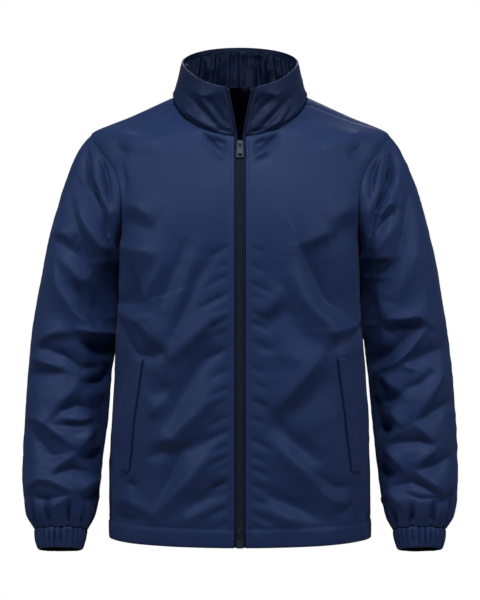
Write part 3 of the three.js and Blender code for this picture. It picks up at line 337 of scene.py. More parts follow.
# Folds of the collar, as seen from the front and from the back
BACK_FOLDS = [
    (4.5, 3, 20, 10, [(-172, -212), (-140, -222), (-104, -246)]),
    (5, 3, 12, 14, [(-166, -330), (-140, -262), (-112, -214)]),
    (-6.5, 5, 26, 10, [(-174, -300), (-150, -296), (-128, -310)]),
    (-5.5, 3, 14, 10, [(-120, -392), (-86, -320), (-38, -262)]),
    (6, 3, 18, 10, [(-112, -420), (-64, -352), (-22, -318)]),
    (-6, 4, 14, 15, [(-118, -548), (-86, -470), (-30, -392)]),
    (5.5, 3, 14, 10, [(-104, -572), (-58, -500), (-18, -462)]),
    (-5, 3, 12, 9, [(-70, -640), (-36, -592), (4, -566)]),
    (4.5, 3, 18, 9, [(98, -236), (122, -226), (160, -214)]),
    (-7, 3, 28, 12, [(94, -240), (120, -286), (150, -330), (178, -352)]),
    (7, 3, 20, 12, [(34, -502), (74, -448), (110, -404), (134, -372)]),
    (-5.5, 3, 12, 14, [(40, -512), (78, -548), (126, -584)]),
    (5.5, 4, 12, 12, [(26, -534), (66, -572), (112, -612)]),
    (-5, 3, 13, 9, [(24, -620), (72, -646), (120, -664)]),
    (3.5, 4, 12, 8, [(-150, -118), (-90, -112), (-30, -124)]),
    (-3.5, 3, 8, 9, [(60, -118), (104, -132), (150, -128)]),
    (-4, 4, 14, 12, [(-16, -210), (-4, -290), (-10, -366)]),
]
COLLAR_FOLDS = [
    (-7, 0.8, 12, 4, [(-83, -2), (-65, -24), (-37, -53), (-19, -71)]),
    (6, 1, 6, 9, [(-92, -10), (-74, -35), (-45, -60)]),
    (-5.5, 0.8, 4, 3.5, [(-80, -30), (-67, -47), (-50, -63)]),
    (-6, 1, 9, 4, [(-52, -10), (-36, -33), (-17, -58)]),
    (4.5, 1, 5, 6, [(-62, -8), (-42, -34), (-24, -60)]),
    (-3.5, 0.8, 3, 3, [(-32, -56), (-11, -65)]),
    (-3.5, 1, 5, 4, [(-34, -6), (-24, -24), (-17, -40)]),
    (3, 1, 4, 5, [(-70, 2), (-56, -6), (-40, -4)]),
    (-7, 0.8, 12, 4, [(21, -72), (43, -48), (63, -27), (85, -3)]),
    (6, 1, 6, 9, [(40, -63), (65, -36), (91, -10)]),
    (-5.5, 0.8, 4, 3.5, [(58, -57), (75, -30), (86, -12)]),
    (-6, 1, 8, 4, [(15, -52), (34, -27), (54, -7)]),
    (4.5, 1, 5, 5, [(20, -63), (42, -36), (60, -16)]),
    (-3.5, 0.8, 3, 3, [(12, -66), (30, -58)]),
    (-3.5, 1, 5, 4, [(16, -32), (26, -18), (38, -4)]),
    (3, 1, 4, 5, [(38, -2), (54, -6), (66, 0)]),
]
COLLAR_BACK_FOLDS = [
    (-3, 3, 8, 8, [(-60, 42), (-34, 60), (-8, 66)]),
    (3, 3, 8, 8, [(-72, 60), (-40, 72), (-10, 74)]),
    (-2.5, 2, 6, 7, [(14, 72), (38, 58), (62, 40)]),
    (-2, 2, 6, 6, [(-88, 24), (-74, 42), (-66, 56)]),
]
HIDDEN_SIDE_SHIFT = -34

# Zip
PANEL_EDGE = 8.7
TOPSTITCH_X = 15.4
LADDER_X = 11.4
LADDER_TOP = -190
PUCKER_START = 16.5
PUCKER_FALL = 0.55
OPEN_NARROWING = 0.58
OPEN_TOP_WIDTH = 0.76
COIL_INSET = 5.3
COIL_WIDTH = 2
RIB_X = 2.2
CHAIN_BOTTOM = -676.5
CHAIN_TOP = -92
OPEN_COIL_BOTTOM = -76.4
OPEN_COIL_TOP = 0.92
SLIDER_Z = -84
SLIDER_HALF_HEIGHT = 7.2
# Pull tab below its pivot: slot and hole are low, top, half width and corner
TAB = {
    "half_width": 5.6,
    "half_wall": 0.7,
    "length": 25,
    "top": 0.65,
    "top_share": 0.76,
    "slot": (-9, -0.65, 2.3, 0.9),
    "hole": (-22.8, -19.2, 3.5, 1.5),
}
TAB_PIVOT = (0, -0.094303, -0.081108)


def smooth(share):
    """An even step from 0 to 1 with soft ends."""
    t = np.clip(share, 0, 1)
    return t * t * (3 - 2 * t)


def column_slopes(keys, values):
    """Slopes of a column at its rows, flat at a peak so that the curve never passes its own rows."""
    spans = np.diff(keys)
    steps = np.diff(values) / spans
    slopes = np.zeros(len(keys))
    slopes[0], slopes[-1] = steps[0], steps[-1]
    for row in range(1, len(keys) - 1):
        before, after = steps[row - 1], steps[row]
        if before * after > 0:
            low_weight = 2 * spans[row] + spans[row - 1]
            high_weight = spans[row] + 2 * spans[row - 1]
            slopes[row] = (low_weight + high_weight) / (low_weight / before + high_weight / after)
    return slopes


def read(table, key, name, at):
    """Reads a named column at values of its key column, with a smooth curve between its rows."""
    keys, values = table[key], table[name]
    slopes = column_slopes(keys, values)
    at = np.clip(np.asarray(at, float), keys[0], keys[-1])
    row = np.clip(np.searchsorted(keys, at) - 1, 0, len(keys) - 2)
    span = keys[row + 1] - keys[row]
    t = (at - keys[row]) / span
    t2, t3 = t * t, t * t * t
    return (
        (2 * t3 - 3 * t2 + 1) * values[row]
        + (t3 - 2 * t2 + t) * span * slopes[row]
        + (3 * t2 - 2 * t3) * values[row + 1]
        + (t3 - t2) * span * slopes[row + 1]
    )


def read_row(table, key, at):
    """Reads every column of a table."""
    return {name: read(table, key, name, at) for name in table if name != key}


def loop_point(loop, angle):
    """Points of body or collar loops, angle 0 being the middle front and 180 degrees the middle back."""
    power = 2 / loop["square"]
    across = np.abs(np.sin(angle))
    along = np.abs(np.cos(angle))
    is_front = np.cos(angle) > 0
    middle_y = np.where(is_front, loop["front_y"], loop["back_y"])
    middle_z = np.where(is_front, loop["front_z"], loop["back_z"])
    x = np.sign(np.sin(angle)) * loop["side_x"] * across**power
    y = loop["side_y"] + (middle_y - loop["side_y"]) * along**power
    bow = np.where(is_front, loop["bow"], loop.get("back_bow", loop["bow"]))
    z = loop["side_z"] + (middle_z - loop["side_z"]) * along**bow
    return np.stack(np.broadcast_arrays(x, y, z), axis=-1)


def body_loop(level):
    """The body loops at some levels."""
    return {
        **read_row(BODY_MIDDLES, "level", level),
        **read_row(BODY_SIDES, "level", level),
        "side_z": level,
    }


def angle_at_x(loop, x):
    """The angle at which a loop stands a distance from the middle."""
    return np.arcsin((x / loop["side_x"]) ** (loop["square"] / 2))


def armhole_share(level):
    """Share of the armhole's full cut: none at the armpit and at the shoulder point."""
    share = np.clip((level - ARMPIT_LEVEL) / (SHOULDER_LEVEL - ARMPIT_LEVEL), 0, 1)
    return np.sqrt(4 * share * (1 - share))


def seam_angle(level):
    """Angle of the side and shoulder seam."""
    turn = np.where(level > SHOULDER_LEVEL, read(SHOULDER_SEAM_TURN, "level", "turn", level), 0)
    return math.pi / 2 - np.radians(turn)


def front_end_angle(level):
    return seam_angle(level) - math.radians(ARMHOLE_CUT_FRONT) * armhole_share(level)


def back_start_angle(level):
    return seam_angle(level) + math.radians(ARMHOLE_CUT_BACK) * armhole_share(level)


def spread(knots, counts):
    """Values from knot to knot, with a number of even steps in each stretch. Knots may be columns."""
    parts = []
    for low, high, count in zip(knots[:-1], knots[1:], counts):
        low, high = np.asarray(low, float), np.asarray(high, float)
        parts.append(low[..., None] + (high - low)[..., None] * np.arange(count) / count)
    parts.append(np.asarray(knots[-1], float)[..., None])
    return np.concatenate(parts, axis=-1)


def fold_height(folds, x, z):
    """How far some folds move the cloth at points seen from the front.

    Each fold runs from left to right along its points. It has a rise, which is negative in a trough,
    the roundness of its crest, and how far it reaches above and below its line.
    """
    height = np.zeros(np.broadcast(x, z).shape)
    for rise, crest, above, below, points in folds:
        points = np.array(points, float)
        runs = np.diff(points, axis=0)
        lengths = np.linalg.norm(runs, axis=1)
        starts = np.concatenate([[0], np.cumsum(lengths)])
        nearest = np.full(height.shape, 1e9)
        signed = np.zeros(height.shape)
        along = np.zeros(height.shape)
        for (from_x, from_z), (run_x, run_z), length, start in zip(points, runs, lengths, starts):
            share = np.clip(((x - from_x) * run_x + (z - from_z) * run_z) / length**2, 0, 1)
            gap_x, gap_z = x - from_x - share * run_x, z - from_z - share * run_z
            distance = np.hypot(gap_x, gap_z)
            closer = distance < nearest
            nearest = np.where(closer, distance, nearest)
            signed = np.where(closer, (gap_x * run_z - gap_z * run_x) / length, signed)
            along = np.where(closer, (start + share * length) / starts[-1], along)
        reach = below + (above - below) * smooth(0.5 - signed / (2 * crest))
        rounded = np.sqrt(nearest**2 + crest**2) - crest
        fade = np.sin(np.pi * np.clip(along, 0.03, 0.97)) ** 0.7
        height += rise * fade * np.exp(-((rounded / reach) ** 1.25))
    return height


def noise(points, scale, seed):
    """Soft noise from -1 to 1, its waves about scale long."""
    cells = 32
    lattice = np.random.default_rng(seed).random((cells, cells, cells)) * 2 - 1
    place = points / scale + seed * 7.3
    corner = np.floor(place).astype(int)
    share = place - corner
    share = share * share * (3 - 2 * share)
    total = np.zeros(points.shape[:-1])
    for step in np.ndindex(2, 2, 2):
        weight = np.prod(np.where(np.array(step) == 1, share, 1 - share), axis=-1)
        index = (corner + step) % cells
        total += weight * lattice[index[..., 0], index[..., 1], index[..., 2]]
    return total


def crumple(points, depth, scale, seed):
    """Small sharp ridges between soft hollows, as on crisp nylon."""
    wide = noise(points, scale, seed)
    fine = noise(points, scale * 0.45, seed + 1)
    ridges = 1 - np.abs(wide) * 1.8 + 0.4 * (1 - np.abs(fine) * 1.8)
    return depth * ridges


def soft_swell(points, seed):
    """Broad soft rises and hollows between the folds."""
    return 1.6 * noise(points, 70, seed) + 0.8 * noise(points, 38, seed + 3)


def grid_normals(grid, wraps=False):
    """Outward normals of a grid of points."""
    if wraps:
        along = np.roll(grid, -1, axis=1) - np.roll(grid, 1, axis=1)
    else:
        along = np.gradient(grid, axis=1)
    normals = np.cross(along, np.gradient(grid, axis=0))
    return normals / np.maximum(np.linalg.norm(normals, axis=-1, keepdims=True), 1e-9)


def measure(grid, axis):
    """Distance along each row or column of a grid, from its start."""
    steps = np.linalg.norm(np.diff(grid, axis=axis), axis=-1)
    pad = [(0, 0), (0, 0)]
    pad[axis] = (1, 0)
    return np.pad(np.cumsum(steps, axis=axis), pad)


def mirrored(grid, side):
    """A grid made for the right, moved to a side, with its columns still running the same way round."""
    if side > 0:
        return grid
    return (grid * np.array([-1, 1, 1]))[:, ::-1]


def outward(grid, heights, wraps=False):
    """Moves the points of a grid out by heights."""
    return grid + grid_normals(grid, wraps) * heights[..., None]


def new_object(name, vertices, faces):
    """A mesh object with its place in its mesh."""
    mesh = bpy.data.meshes.new(name)
    mesh.from_pydata(vertices.tolist(), [], faces.tolist() if hasattr(faces, "tolist") else faces)
    thing = bpy.data.objects.new(name, mesh)
    bpy.context.scene.collection.objects.link(thing)
    return thing


def sheet_object(name, grid, materials, wall, wraps=False):
    """A thin shell of cloth on a grid of its outer points, with its own map in metres."""
    rows, columns = grid.shape[:2]
    row, column = np.mgrid[0 : rows - 1, 0 : columns if wraps else columns - 1]
    row, column = row.ravel(), column.ravel()
    corners = [(row, column), (row, column + 1), (row + 1, column + 1), (row + 1, column)]
    faces = np.stack([r * columns + c % columns for r, c in corners], axis=-1)
    thing = new_object(name, grid.reshape(-1, 3) * MM, faces)
    closed = np.concatenate([grid, grid[:, :1]], axis=1) if wraps else grid
    around = measure(closed, 1)
    around = around[rows // 2] * np.ones((rows, 1))
    along = measure(closed, 0).mean(axis=1, keepdims=True) * np.ones((1, closed.shape[1]))
    layer = thing.data.uv_layers.new(name="Cloth")
    places = np.stack([np.stack([around[r, c], along[r, c]], axis=-1) for r, c in corners], axis=1) * MM
    layer.data.foreach_set("uv", places.astype(np.float32).ravel())
    for material in materials:
        thing.data.materials.append(material)
    thing.data.polygons.foreach_set("use_smooth", [True] * len(faces))
    solidify = thing.modifiers.new("Wall", "SOLIDIFY")
    solidify.thickness = wall * MM
    solidify.offset = -1
    solidify.use_even_offset = False
    solidify.material_offset = len(materials) - 1
    bpy.context.view_layer.objects.active = thing
    bpy.ops.object.select_all(action="DESELECT")
    thing.select_set(True)
    bpy.ops.object.modifier_apply(modifier=solidify.name)
    return thing


def flat_size(grid):
    """Width, length and area in metres of the cloth that a grid of points is cut from."""
    along = np.diff(grid, axis=1)[:-1]
    up = np.diff(grid, axis=0)[:, :-1]
    area = np.linalg.norm(np.cross(along, up), axis=-1).sum() * MM * MM
    width = measure(grid, 1)[:, -1].max() * MM
    length = measure(grid, 0)[-1].max() * MM
    return (round(width, 3), round(length, 3)), float(area)


def wear(thing, grid, nodes):
    """Works out a cloth piece's flat size, hides the solids it stands for and moves it with the jacket's
    body.
    """
    flat, area = flat_size(grid)
    share = area / (flat[0] * flat[1])
    if share > 1:
        flat = (round(flat[0] * math.sqrt(share) + 0.001, 3), round(flat[1] * math.sqrt(share) + 0.001, 3))
    flat = tuple(max(LEAST_FLAT, size) for size in flat)
    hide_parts(*nodes)
    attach(thing, "jacket")
    return thing


def strands(name, starts, ends, normals, width, height, sides, shares, swell, material):
    """Short rounded strands, such as stitches or zip teeth, as one mesh."""
    starts, ends, normals = (np.asarray(a, float) for a in (starts, ends, normals))
    direction = ends - starts
    across = np.cross(direction, normals)
    across /= np.maximum(np.linalg.norm(across, axis=-1, keepdims=True), 1e-9)
    up = np.cross(across, direction)
    up /= np.maximum(np.linalg.norm(up, axis=-1, keepdims=True), 1e-9)
    turns = 2 * np.pi * np.arange(sides) / sides
    rings = []
    for share, size in zip(shares, swell):
        centre = starts + direction * share
        ring = (
            centre[:, None]
            + across[:, None] * (np.cos(turns) * width / 2 * size)[None, :, None]
            + up[:, None] * (np.sin(turns) * height / 2 * size)[None, :, None]
        )
        rings.append(ring)
    count, levels = len(starts), len(shares)
    body = np.stack(rings, axis=1).reshape(count, -1, 3)
    vertices = np.concatenate([body, starts[:, None], ends[:, None]], axis=1)
    faces = []
    for level in range(levels - 1):
        for side in range(sides):
            a, b = level * sides + side, level * sides + (side + 1) % sides
            faces.append((a, b, b + sides, a + sides))
    low_tip, high_tip, top = levels * sides, levels * sides + 1, (levels - 1) * sides
    caps = []
    for side in range(sides):
        following = (side + 1) % sides
        caps.append((low_tip, following, side))
        caps.append((high_tip, top + side, top + following))
    size = vertices.shape[1]
    offsets = (np.arange(count) * size)[:, None, None]
    every = (np.array(faces)[None] + offsets).reshape(-1, 4).tolist()
    every += (np.array(caps)[None] + offsets).reshape(-1, 3).tolist()
    thing = new_object(name, vertices.reshape(-1, 3) * MM, every)
    thing.data.materials.append(material)
    thing.data.polygons.foreach_set("use_smooth", [True] * len(every))
    return thing


def along_line(points, step, start=0.0):
    """Evenly spaced places on a line: index shares for interpolation."""
    lengths = np.concatenate([[0], np.cumsum(np.linalg.norm(np.diff(points, axis=0), axis=-1))])
    at = np.arange(start, lengths[-1], step)
    return at, lengths


def read_line(points, lengths, at):
    """Points of a line at distances along it."""
    return np.stack([np.interp(at, lengths, points[:, axis]) for axis in range(3)], axis=-1)


def stitches_on(line, normals, length, gap, lift):
    """Starts, ends and normals of the stitches along a line on the cloth."""
    at, lengths = along_line(line, length + gap)
    at = at[at + length < lengths[-1]]
    turned = read_line(normals, lengths, at + length / 2)
    turned /= np.linalg.norm(turned, axis=-1, keepdims=True)
    return (
        read_line(line, lengths, at) + turned * lift,
        read_line(line, lengths, at + length) + turned * lift,
        turned,
    )


STITCH_LINES = []
STOUT_GAP = 2.4
FINE_GAP = 1.6


def keep_stitch_line(grid, rows, columns, stout=False):
    """Keeps a row or column of a grid, with its normals, for the stitching."""
    STITCH_LINES.append((grid[rows, columns], grid_normals(grid)[rows, columns], stout))


# Shader nodes


class NodeMaker:
    """Adds nodes to a tree and links them."""

    def __init__(self, tree):
        self.tree = tree

    def node(self, kind, values=None, **settings):
        made = self.tree.nodes.new(kind)
        for name, value in settings.items():
            setattr(made, name, value)
        for name, value in (values or {}).items():
            if isinstance(value, bpy.types.NodeSocket):
                self.tree.links.new(value, made.inputs[name])
            else:
                made.inputs[name].default_value = value
        return made

    def maths(self, operation, first, second=0.5):
        return self.node("ShaderNodeMath", {0: first, 1: second}, operation=operation).outputs[0]


def shader_group(name, inputs, outputs, build):
    """A node group with named sockets, built once."""
    if name in bpy.data.node_groups:
        return bpy.data.node_groups[name]
    group = bpy.data.node_groups.new(name, "ShaderNodeTree")
    for label, kind, default in inputs:
        socket = group.interface.new_socket(label, in_out="INPUT", socket_type=kind)
        if default is not None:
            socket.default_value = default
    for label, kind in outputs:
        group.interface.new_socket(label, in_out="OUTPUT", socket_type=kind)
    maker = NodeMaker(group)
    entry = maker.node("NodeGroupInput")
    leave = maker.node("NodeGroupOutput")
    for label, value in build(maker, entry.outputs).items():
        group.links.new(value, leave.inputs[label])
    return group


def build_weave(maker, entry):
    """Plain weave: two crossed sets of threads, each with its own uneven thickness."""
    heights = []
    for direction in ("X", "Y"):
        wave = maker.node(
            "ShaderNodeTexWave",
            {"Vector": entry["Place"], "Scale": entry["Threads"], "Distortion": 0.6, "Detail": 1.0},
            wave_type="BANDS",
            bands_direction=direction,
        )
        heights.append(wave.outputs["Fac"])
    height = maker.maths("MULTIPLY", heights[0], heights[1])
    slub = maker.node("ShaderNodeTexNoise", {"Vector": entry["Place"], "Scale": 900.0, "Detail": 2.0})
    tinted = maker.node(
        "ShaderNodeMix",
        {"Factor": maker.maths("MULTIPLY", slub.outputs["Fac"], entry["Unevenness"])},
        data_type="RGBA",
        blend_type="MULTIPLY",
    )
    maker.tree.links.new(entry["Colour"], tinted.inputs[6])
    tinted.inputs[7].default_value = (0.55, 0.58, 0.66, 1)
    return {"Height": height, "Colour": tinted.outputs[2]}


def build_crinkle(maker, entry):
    """Fine creases of crisp cloth, with smoother patches between them."""
    place = entry["Place"]
    warp = maker.node("ShaderNodeTexNoise", {"Vector": place, "Scale": entry["Scale"], "Detail": 3.0})
    ridge = maker.maths("ABSOLUTE", maker.maths("SUBTRACT", warp.outputs["Fac"], 0.5))
    patch = maker.node("ShaderNodeTexNoise", {"Vector": place, "Scale": 9.0, "Detail": 1.0})
    limits = {"Value": patch.outputs["Fac"], "From Min": 0.35, "From Max": 0.65}
    spot = maker.node("ShaderNodeMapRange", limits).outputs["Result"]
    return {"Height": maker.maths("MULTIPLY", ridge, spot), "Patch": spot}


def build_metal_wear(maker, entry):
    """Rubbed paint on small metal: fine brighter specks from noise."""
    specks = maker.node("ShaderNodeTexNoise", {"Vector": entry["Place"], "Scale": 2600.0, "Detail": 3.0})
    fleck = specks.outputs["Fac"]
    mask = maker.node("ShaderNodeMapRange", {"Value": fleck, "From Min": 0.5, "From Max": 0.75})
    mixed = maker.node("ShaderNodeMix", {"Factor": mask.outputs["Result"]}, data_type="RGBA")
    maker.tree.links.new(entry["Colour"], mixed.inputs[6])
    maker.tree.links.new(entry["Rubbed"], mixed.inputs[7])
    rough = maker.node("ShaderNodeMapRange", {"Value": fleck, "To Min": 0.5, "To Max": 0.62})
    return {"Colour": mixed.outputs[2], "Roughness": rough.outputs["Result"], "Height": fleck}


COLOUR, VALUE, VECTOR = "NodeSocketColor", "NodeSocketFloat", "NodeSocketVector"


def weave_group():
    return shader_group(
        "Plain weave",
        [
            ("Place", VECTOR, None),
            ("Threads", VALUE, 628.0),
            ("Unevenness", VALUE, 0.4),
            ("Colour", COLOUR, (0.02, 0.03, 0.08, 1)),
        ],
        [("Height", VALUE), ("Colour", COLOUR)],
        build_weave,
    )


def crinkle_group():
    return shader_group(
        "Fine crinkle",
        [("Place", VECTOR, None), ("Scale", VALUE, 40.0)],
        [("Height", VALUE), ("Patch", VALUE)],
        build_crinkle,
    )


def metal_wear_group():
    return shader_group(
        "Metal wear",
        [
            ("Place", VECTOR, None),
            ("Colour", COLOUR, (0.08, 0.09, 0.12, 1)),
            ("Rubbed", COLOUR, (0.3, 0.31, 0.35, 1)),
        ],
        [("Colour", COLOUR), ("Roughness", VALUE), ("Height", VALUE)],
        build_metal_wear,
    )


def use_group(maker, group, values):
    made = maker.node("ShaderNodeGroup", node_tree=group)
    for name, value in values.items():
        if isinstance(value, bpy.types.NodeSocket):
            maker.tree.links.new(value, made.inputs[name])
        else:
            made.inputs[name].default_value = value
    return made.outputs


def new_material(name):
    material = bpy.data.materials.new(name)
    material.use_nodes = True
    maker = NodeMaker(material.node_tree)
    return material, maker, material.node_tree.nodes["Principled BSDF"]


def cloth_material(name, colour, threads, rough, sheen, crinkle, uneven=0.4, gloss=0.2):
    """Woven cloth with soft sheen, its weave and fine creases following the piece's own map."""
    if name in bpy.data.materials:
        return bpy.data.materials[name]
    material, maker, shader = new_material(name)
    place = maker.node("ShaderNodeUVMap", uv_map="Cloth").outputs["UV"]
    solid = maker.node("ShaderNodeTexCoord").outputs["Object"]
    values = {"Place": place, "Threads": threads, "Unevenness": uneven, "Colour": tuple(colour)}
    weave = use_group(maker, weave_group(), values)
    crease = use_group(maker, crinkle_group(), {"Place": solid, "Scale": 34.0})
    fine = maker.node("ShaderNodeBump", {"Height": weave["Height"], "Strength": 0.35, "Distance": 0.00012})
    values = {"Height": crease["Height"], "Strength": crinkle, "Distance": 0.004}
    bump = maker.node("ShaderNodeBump", {**values, "Normal": fine.outputs["Normal"]})
    values = {"Value": crease["Patch"], "To Min": rough - 0.05, "To Max": rough + 0.06}
    polish = maker.node("ShaderNodeMapRange", values)
    links = maker.tree.links
    links.new(weave["Colour"], shader.inputs["Base Color"])
    links.new(polish.outputs["Result"], shader.inputs["Roughness"])
    links.new(bump.outputs["Normal"], shader.inputs["Normal"])
    shader.inputs["Specular IOR Level"].default_value = gloss
    shader.inputs["Specular Tint"].default_value = (0.62, 0.74, 1, 1)
    shader.inputs["Sheen Weight"].default_value = sheen
    shader.inputs["Sheen Roughness"].default_value = 0.45
    shader.inputs["Sheen Tint"].default_value = (0.45, 0.55, 0.85, 1)
    return material


def metal_material(name, colour, rubbed):
    """Painted metal of the slider, its tab and the bottom box."""
    if name in bpy.data.materials:
        return bpy.data.materials[name]
    material, maker, shader = new_material(name)
    solid = maker.node("ShaderNodeTexCoord").outputs["Object"]
    values = {"Place": solid, "Colour": tuple(colour), "Rubbed": tuple(rubbed)}
    worn = use_group(maker, metal_wear_group(), values)
    bump = maker.node("ShaderNodeBump", {"Height": worn["Height"], "Strength": 0.15, "Distance": 0.0001})
    maker.tree.links.new(worn["Colour"], shader.inputs["Base Color"])
    maker.tree.links.new(worn["Roughness"], shader.inputs["Roughness"])
    maker.tree.links.new(bump.outputs["Normal"], shader.inputs["Normal"])
    shader.inputs["Metallic"].default_value = 0.6
    return material


def strand_material(name, colour, rough):
    """Polyester thread and nylon coil, slightly uneven in tone."""
    if name in bpy.data.materials:
        return bpy.data.materials[name]
    material, maker, shader = new_material(name)
    solid = maker.node("ShaderNodeTexCoord").outputs["Object"]
    tone = maker.node("ShaderNodeTexNoise", {"Vector": solid, "Scale": 400.0, "Detail": 2.0})
    mixed = maker.node("ShaderNodeMix", {"Factor": tone.outputs["Fac"]}, data_type="RGBA")
    mixed.inputs[6].default_value = tuple(colour)
    mixed.inputs[7].default_value = tuple(0.6 * c for c in colour[:3]) + (1,)
    maker.tree.links.new(mixed.outputs[2], shader.inputs["Base Color"])
    shader.inputs["Roughness"].default_value = rough
    shader.inputs["Specular IOR Level"].default_value = 0.25
    return material


class JacketSizes(bpy.types.PropertyGroup):
    """Sizes a user would change."""

    wall: bpy.props.FloatProperty(
        name="Cloth wall", description="Thickness of the cloth", default=0.0012, unit="LENGTH"
    )
    cell: bpy.props.FloatProperty(
        name="Cell", description="Size of the cells of the cloth", default=0.003, unit="LENGTH"
    )
    crumple: bpy.props.FloatProperty(
        name="Crumple", description="Height of the small uneven ridges", default=0.0006, unit="LENGTH"
    )
    stitch: bpy.props.FloatProperty(
        name="Stitch", description="Length of a stitch", default=0.0032, unit="LENGTH"
    )
    thread: bpy.props.FloatProperty(
        name="Thread", description="Thickness of the sewing thread", default=0.0007, unit="LENGTH"
    )
    tooth_pitch: bpy.props.FloatProperty(
        name="Tooth pitch", description="Distance between the zip's teeth", default=0.0016, unit="LENGTH"
    )


def colour_property(name, description, default):
    return bpy.props.FloatVectorProperty(
        name=name, description=description, default=default, size=4, subtype="COLOR", min=0, max=1
    )


class JacketColours(bpy.types.PropertyGroup):
    """Colours a user would change."""

    cloth: colour_property("Cloth", "Outer nylon", (0.021, 0.042, 0.130, 1))
    # The collar is the same nylon as the body; its darker colour is painted shade.
    collar: colour_property("Collar", "Outer nylon of the collar, darkened as painted shade", (0.0105, 0.0215, 0.072, 1))
    lining: colour_property("Lining", "Inside of the collar", (0.004, 0.009, 0.030, 1))
    backing: colour_property("Backing", "Coated inside of the nylon", (0.006, 0.010, 0.030, 1))
    tape: colour_property("Tape", "Woven zip tape", (0.012, 0.021, 0.054, 1))
    coil: colour_property("Coil", "Nylon zip coil", (0.009, 0.015, 0.030, 1))
    # The coil's raised loops are the same nylon as the coil; their lighter colour is a painted highlight.
    rib_highlight: colour_property("Coil rib", "Raised outer loops of the coil", (0.034, 0.054, 0.088, 1))
    # Thread also colours the line along the collar's top edge, which is a painted highlight.
    thread: colour_property("Thread", "Sewing thread", (0.058, 0.082, 0.185, 1))
    metal: colour_property("Metal", "Painted zip metal", (0.034, 0.044, 0.066, 1))
    rubbed: colour_property("Rubbed metal", "Metal where the paint is rubbed", (0.085, 0.10, 0.13, 1))
    floor: colour_property("Floor", "Studio floor", (0.85, 0.85, 0.85, 1))


def cloth(colours):
    return cloth_material("Navy nylon", colours.cloth, 628.0, 0.5, 0.1, 0.25)


# Same nylon as the body, in the darker collar colour: painted shade.
def collar_cloth_painted_shade(colours):
    return cloth_material("Collar nylon", colours.collar, 628.0, 0.45, 0.1, 0.25)


def backing(colours):
    return cloth_material("Coated backing", colours.backing, 628.0, 0.6, 0.0, 0.2, 0.4, 0.08)


def lining(colours):
    return cloth_material("Collar lining", colours.lining, 500.0, 0.34, 0.0, 0.35, 0.4, 0.1)


def tape(colours):
    return cloth_material("Zip tape", colours.tape, 420.0, 0.75, 0.0, 0.0, 0.7, 0.08)


def thread(colours):
    return strand_material("Thread", colours.thread, 0.5)


def coil(colours):
    return strand_material("Nylon coil", colours.coil, 0.4)


# Lighter than the coil: the painted highlight of its raised loops.
def rib_highlight(colours):
    return strand_material("Coil rib", colours.rib_highlight, 0.45)


def metal(colours):
    return metal_material("Gunmetal", colours.metal, colours.rubbed)


# Body panels


def panel_levels(cell):
    """Levels of the panels' rows, closer where the cloth turns over the shoulder."""
    lower = round((ARMPIT_LEVEL - HEM_LEVEL) / cell)
    turns = np.linspace(0, np.pi, 61)[1:]
    armhole = ARMPIT_LEVEL + (1 - np.cos(turns)) / 2 * (SHOULDER_LEVEL - ARMPIT_LEVEL)
    shoulder = np.linspace(SHOULDER_LEVEL, NECK_LEVEL, 41)[1:]
    return np.concatenate([np.linspace(HEM_LEVEL, ARMPIT_LEVEL, lower + 1), armhole, shoulder])


POCKET_TOP = {"level": -407, "opening": 0.505, "outer": 0.59}
POCKET_BOTTOM = {"level": -583, "opening": 0.6, "outer": 0.685}


def pocket_share(levels, name):
    """Where the pocket's edge runs, as a share of the way from the front edge to the side."""
    share = np.clip((levels - POCKET_TOP["level"]) / (POCKET_BOTTOM["level"] - POCKET_TOP["level"]), 0, 1)
    return POCKET_TOP[name] + share * (POCKET_BOTTOM[name] - POCKET_TOP[name])


FRONT_COUNTS = {"edge": 2, "ladder": 3, "topstitch": 4, "chest": 40, "welt": 7, "flank": 33}


def front_panel(side, cell):
    """Base grid of a front panel. Columns run on the zip's topstitching and on both pocket edges."""
    levels = panel_levels(cell)
    loop = body_loop(levels)
    start = angle_at_x(loop, PANEL_EDGE)
    ladder = angle_at_x(loop, LADDER_X)
    stitch = angle_at_x(loop, TOPSTITCH_X)
    after = angle_at_x(loop, TOPSTITCH_X + 7)
    end = front_end_angle(levels) - 0.0008
    opening = start + (end - start) * pocket_share(levels, "opening")
    outer = start + (end - start) * pocket_share(levels, "outer")
    angles = spread([start, ladder, stitch, after, opening, outer, end], list(FRONT_COUNTS.values()))
    loop = {name: value[:, None] for name, value in loop.items()}
    return levels, mirrored(loop_point(loop, angles), side)


def edge_fade(grid, width):
    """0 on a panel's side edges and 1 a width in from them."""
    around = measure(grid, 1)
    inside = np.minimum(around, around[:, -1:] - around)
    return smooth(inside / width), inside


def seam_valley(inside, depth=0.6, width=2.5):
    """The dip of the cloth into a seam at its edge."""
    return -depth * np.exp(-((inside / width) ** 2))


def softened(grid, levels):
    """A panel with its turn over the shoulder rounded off."""
    near = np.exp(-(((levels - SHOULDER_LEVEL) / 25) ** 2))
    weight = (near[:, None] * edge_fade(grid, 12)[0])[..., None]
    for step in range(40):
        mean = grid.copy()
        mean[1:-1] = (grid[:-2] + 2 * grid[1:-1] + grid[2:]) / 4
        grid = grid + weight * (mean - grid)
    return grid


def neck_valley(levels):
    """The dip of the cloth into the neck seam."""
    return -1.3 * np.exp(-(((NECK_LEVEL - levels) / 2.2) ** 2))[:, None]


def top_fade(levels):
    """0 at the neck seam and 1 below it."""
    return smooth((NECK_LEVEL - levels) / 12)[:, None]


def hem_relief(grid, levels):
    """The turned hem: a groove at its stitching, a fuller edge below and small puckers across."""
    around = measure(grid, 1)
    drop = (levels - HEM_STITCH_LEVEL)[:, None]
    groove = -0.9 * np.exp(-((drop / 2.5) ** 2))
    roll = 0.8 * smooth(-drop / 4) * (1 - 0.7 * smooth((-drop - 22) / 6))
    wave = np.sin(around / 7.5 + 2.2 * noise(grid, 60, 5)) * noise(grid, 45, 6)
    puckers = 0.8 * wave * np.exp(-((drop / 13) ** 2))
    return groove + roll + puckers


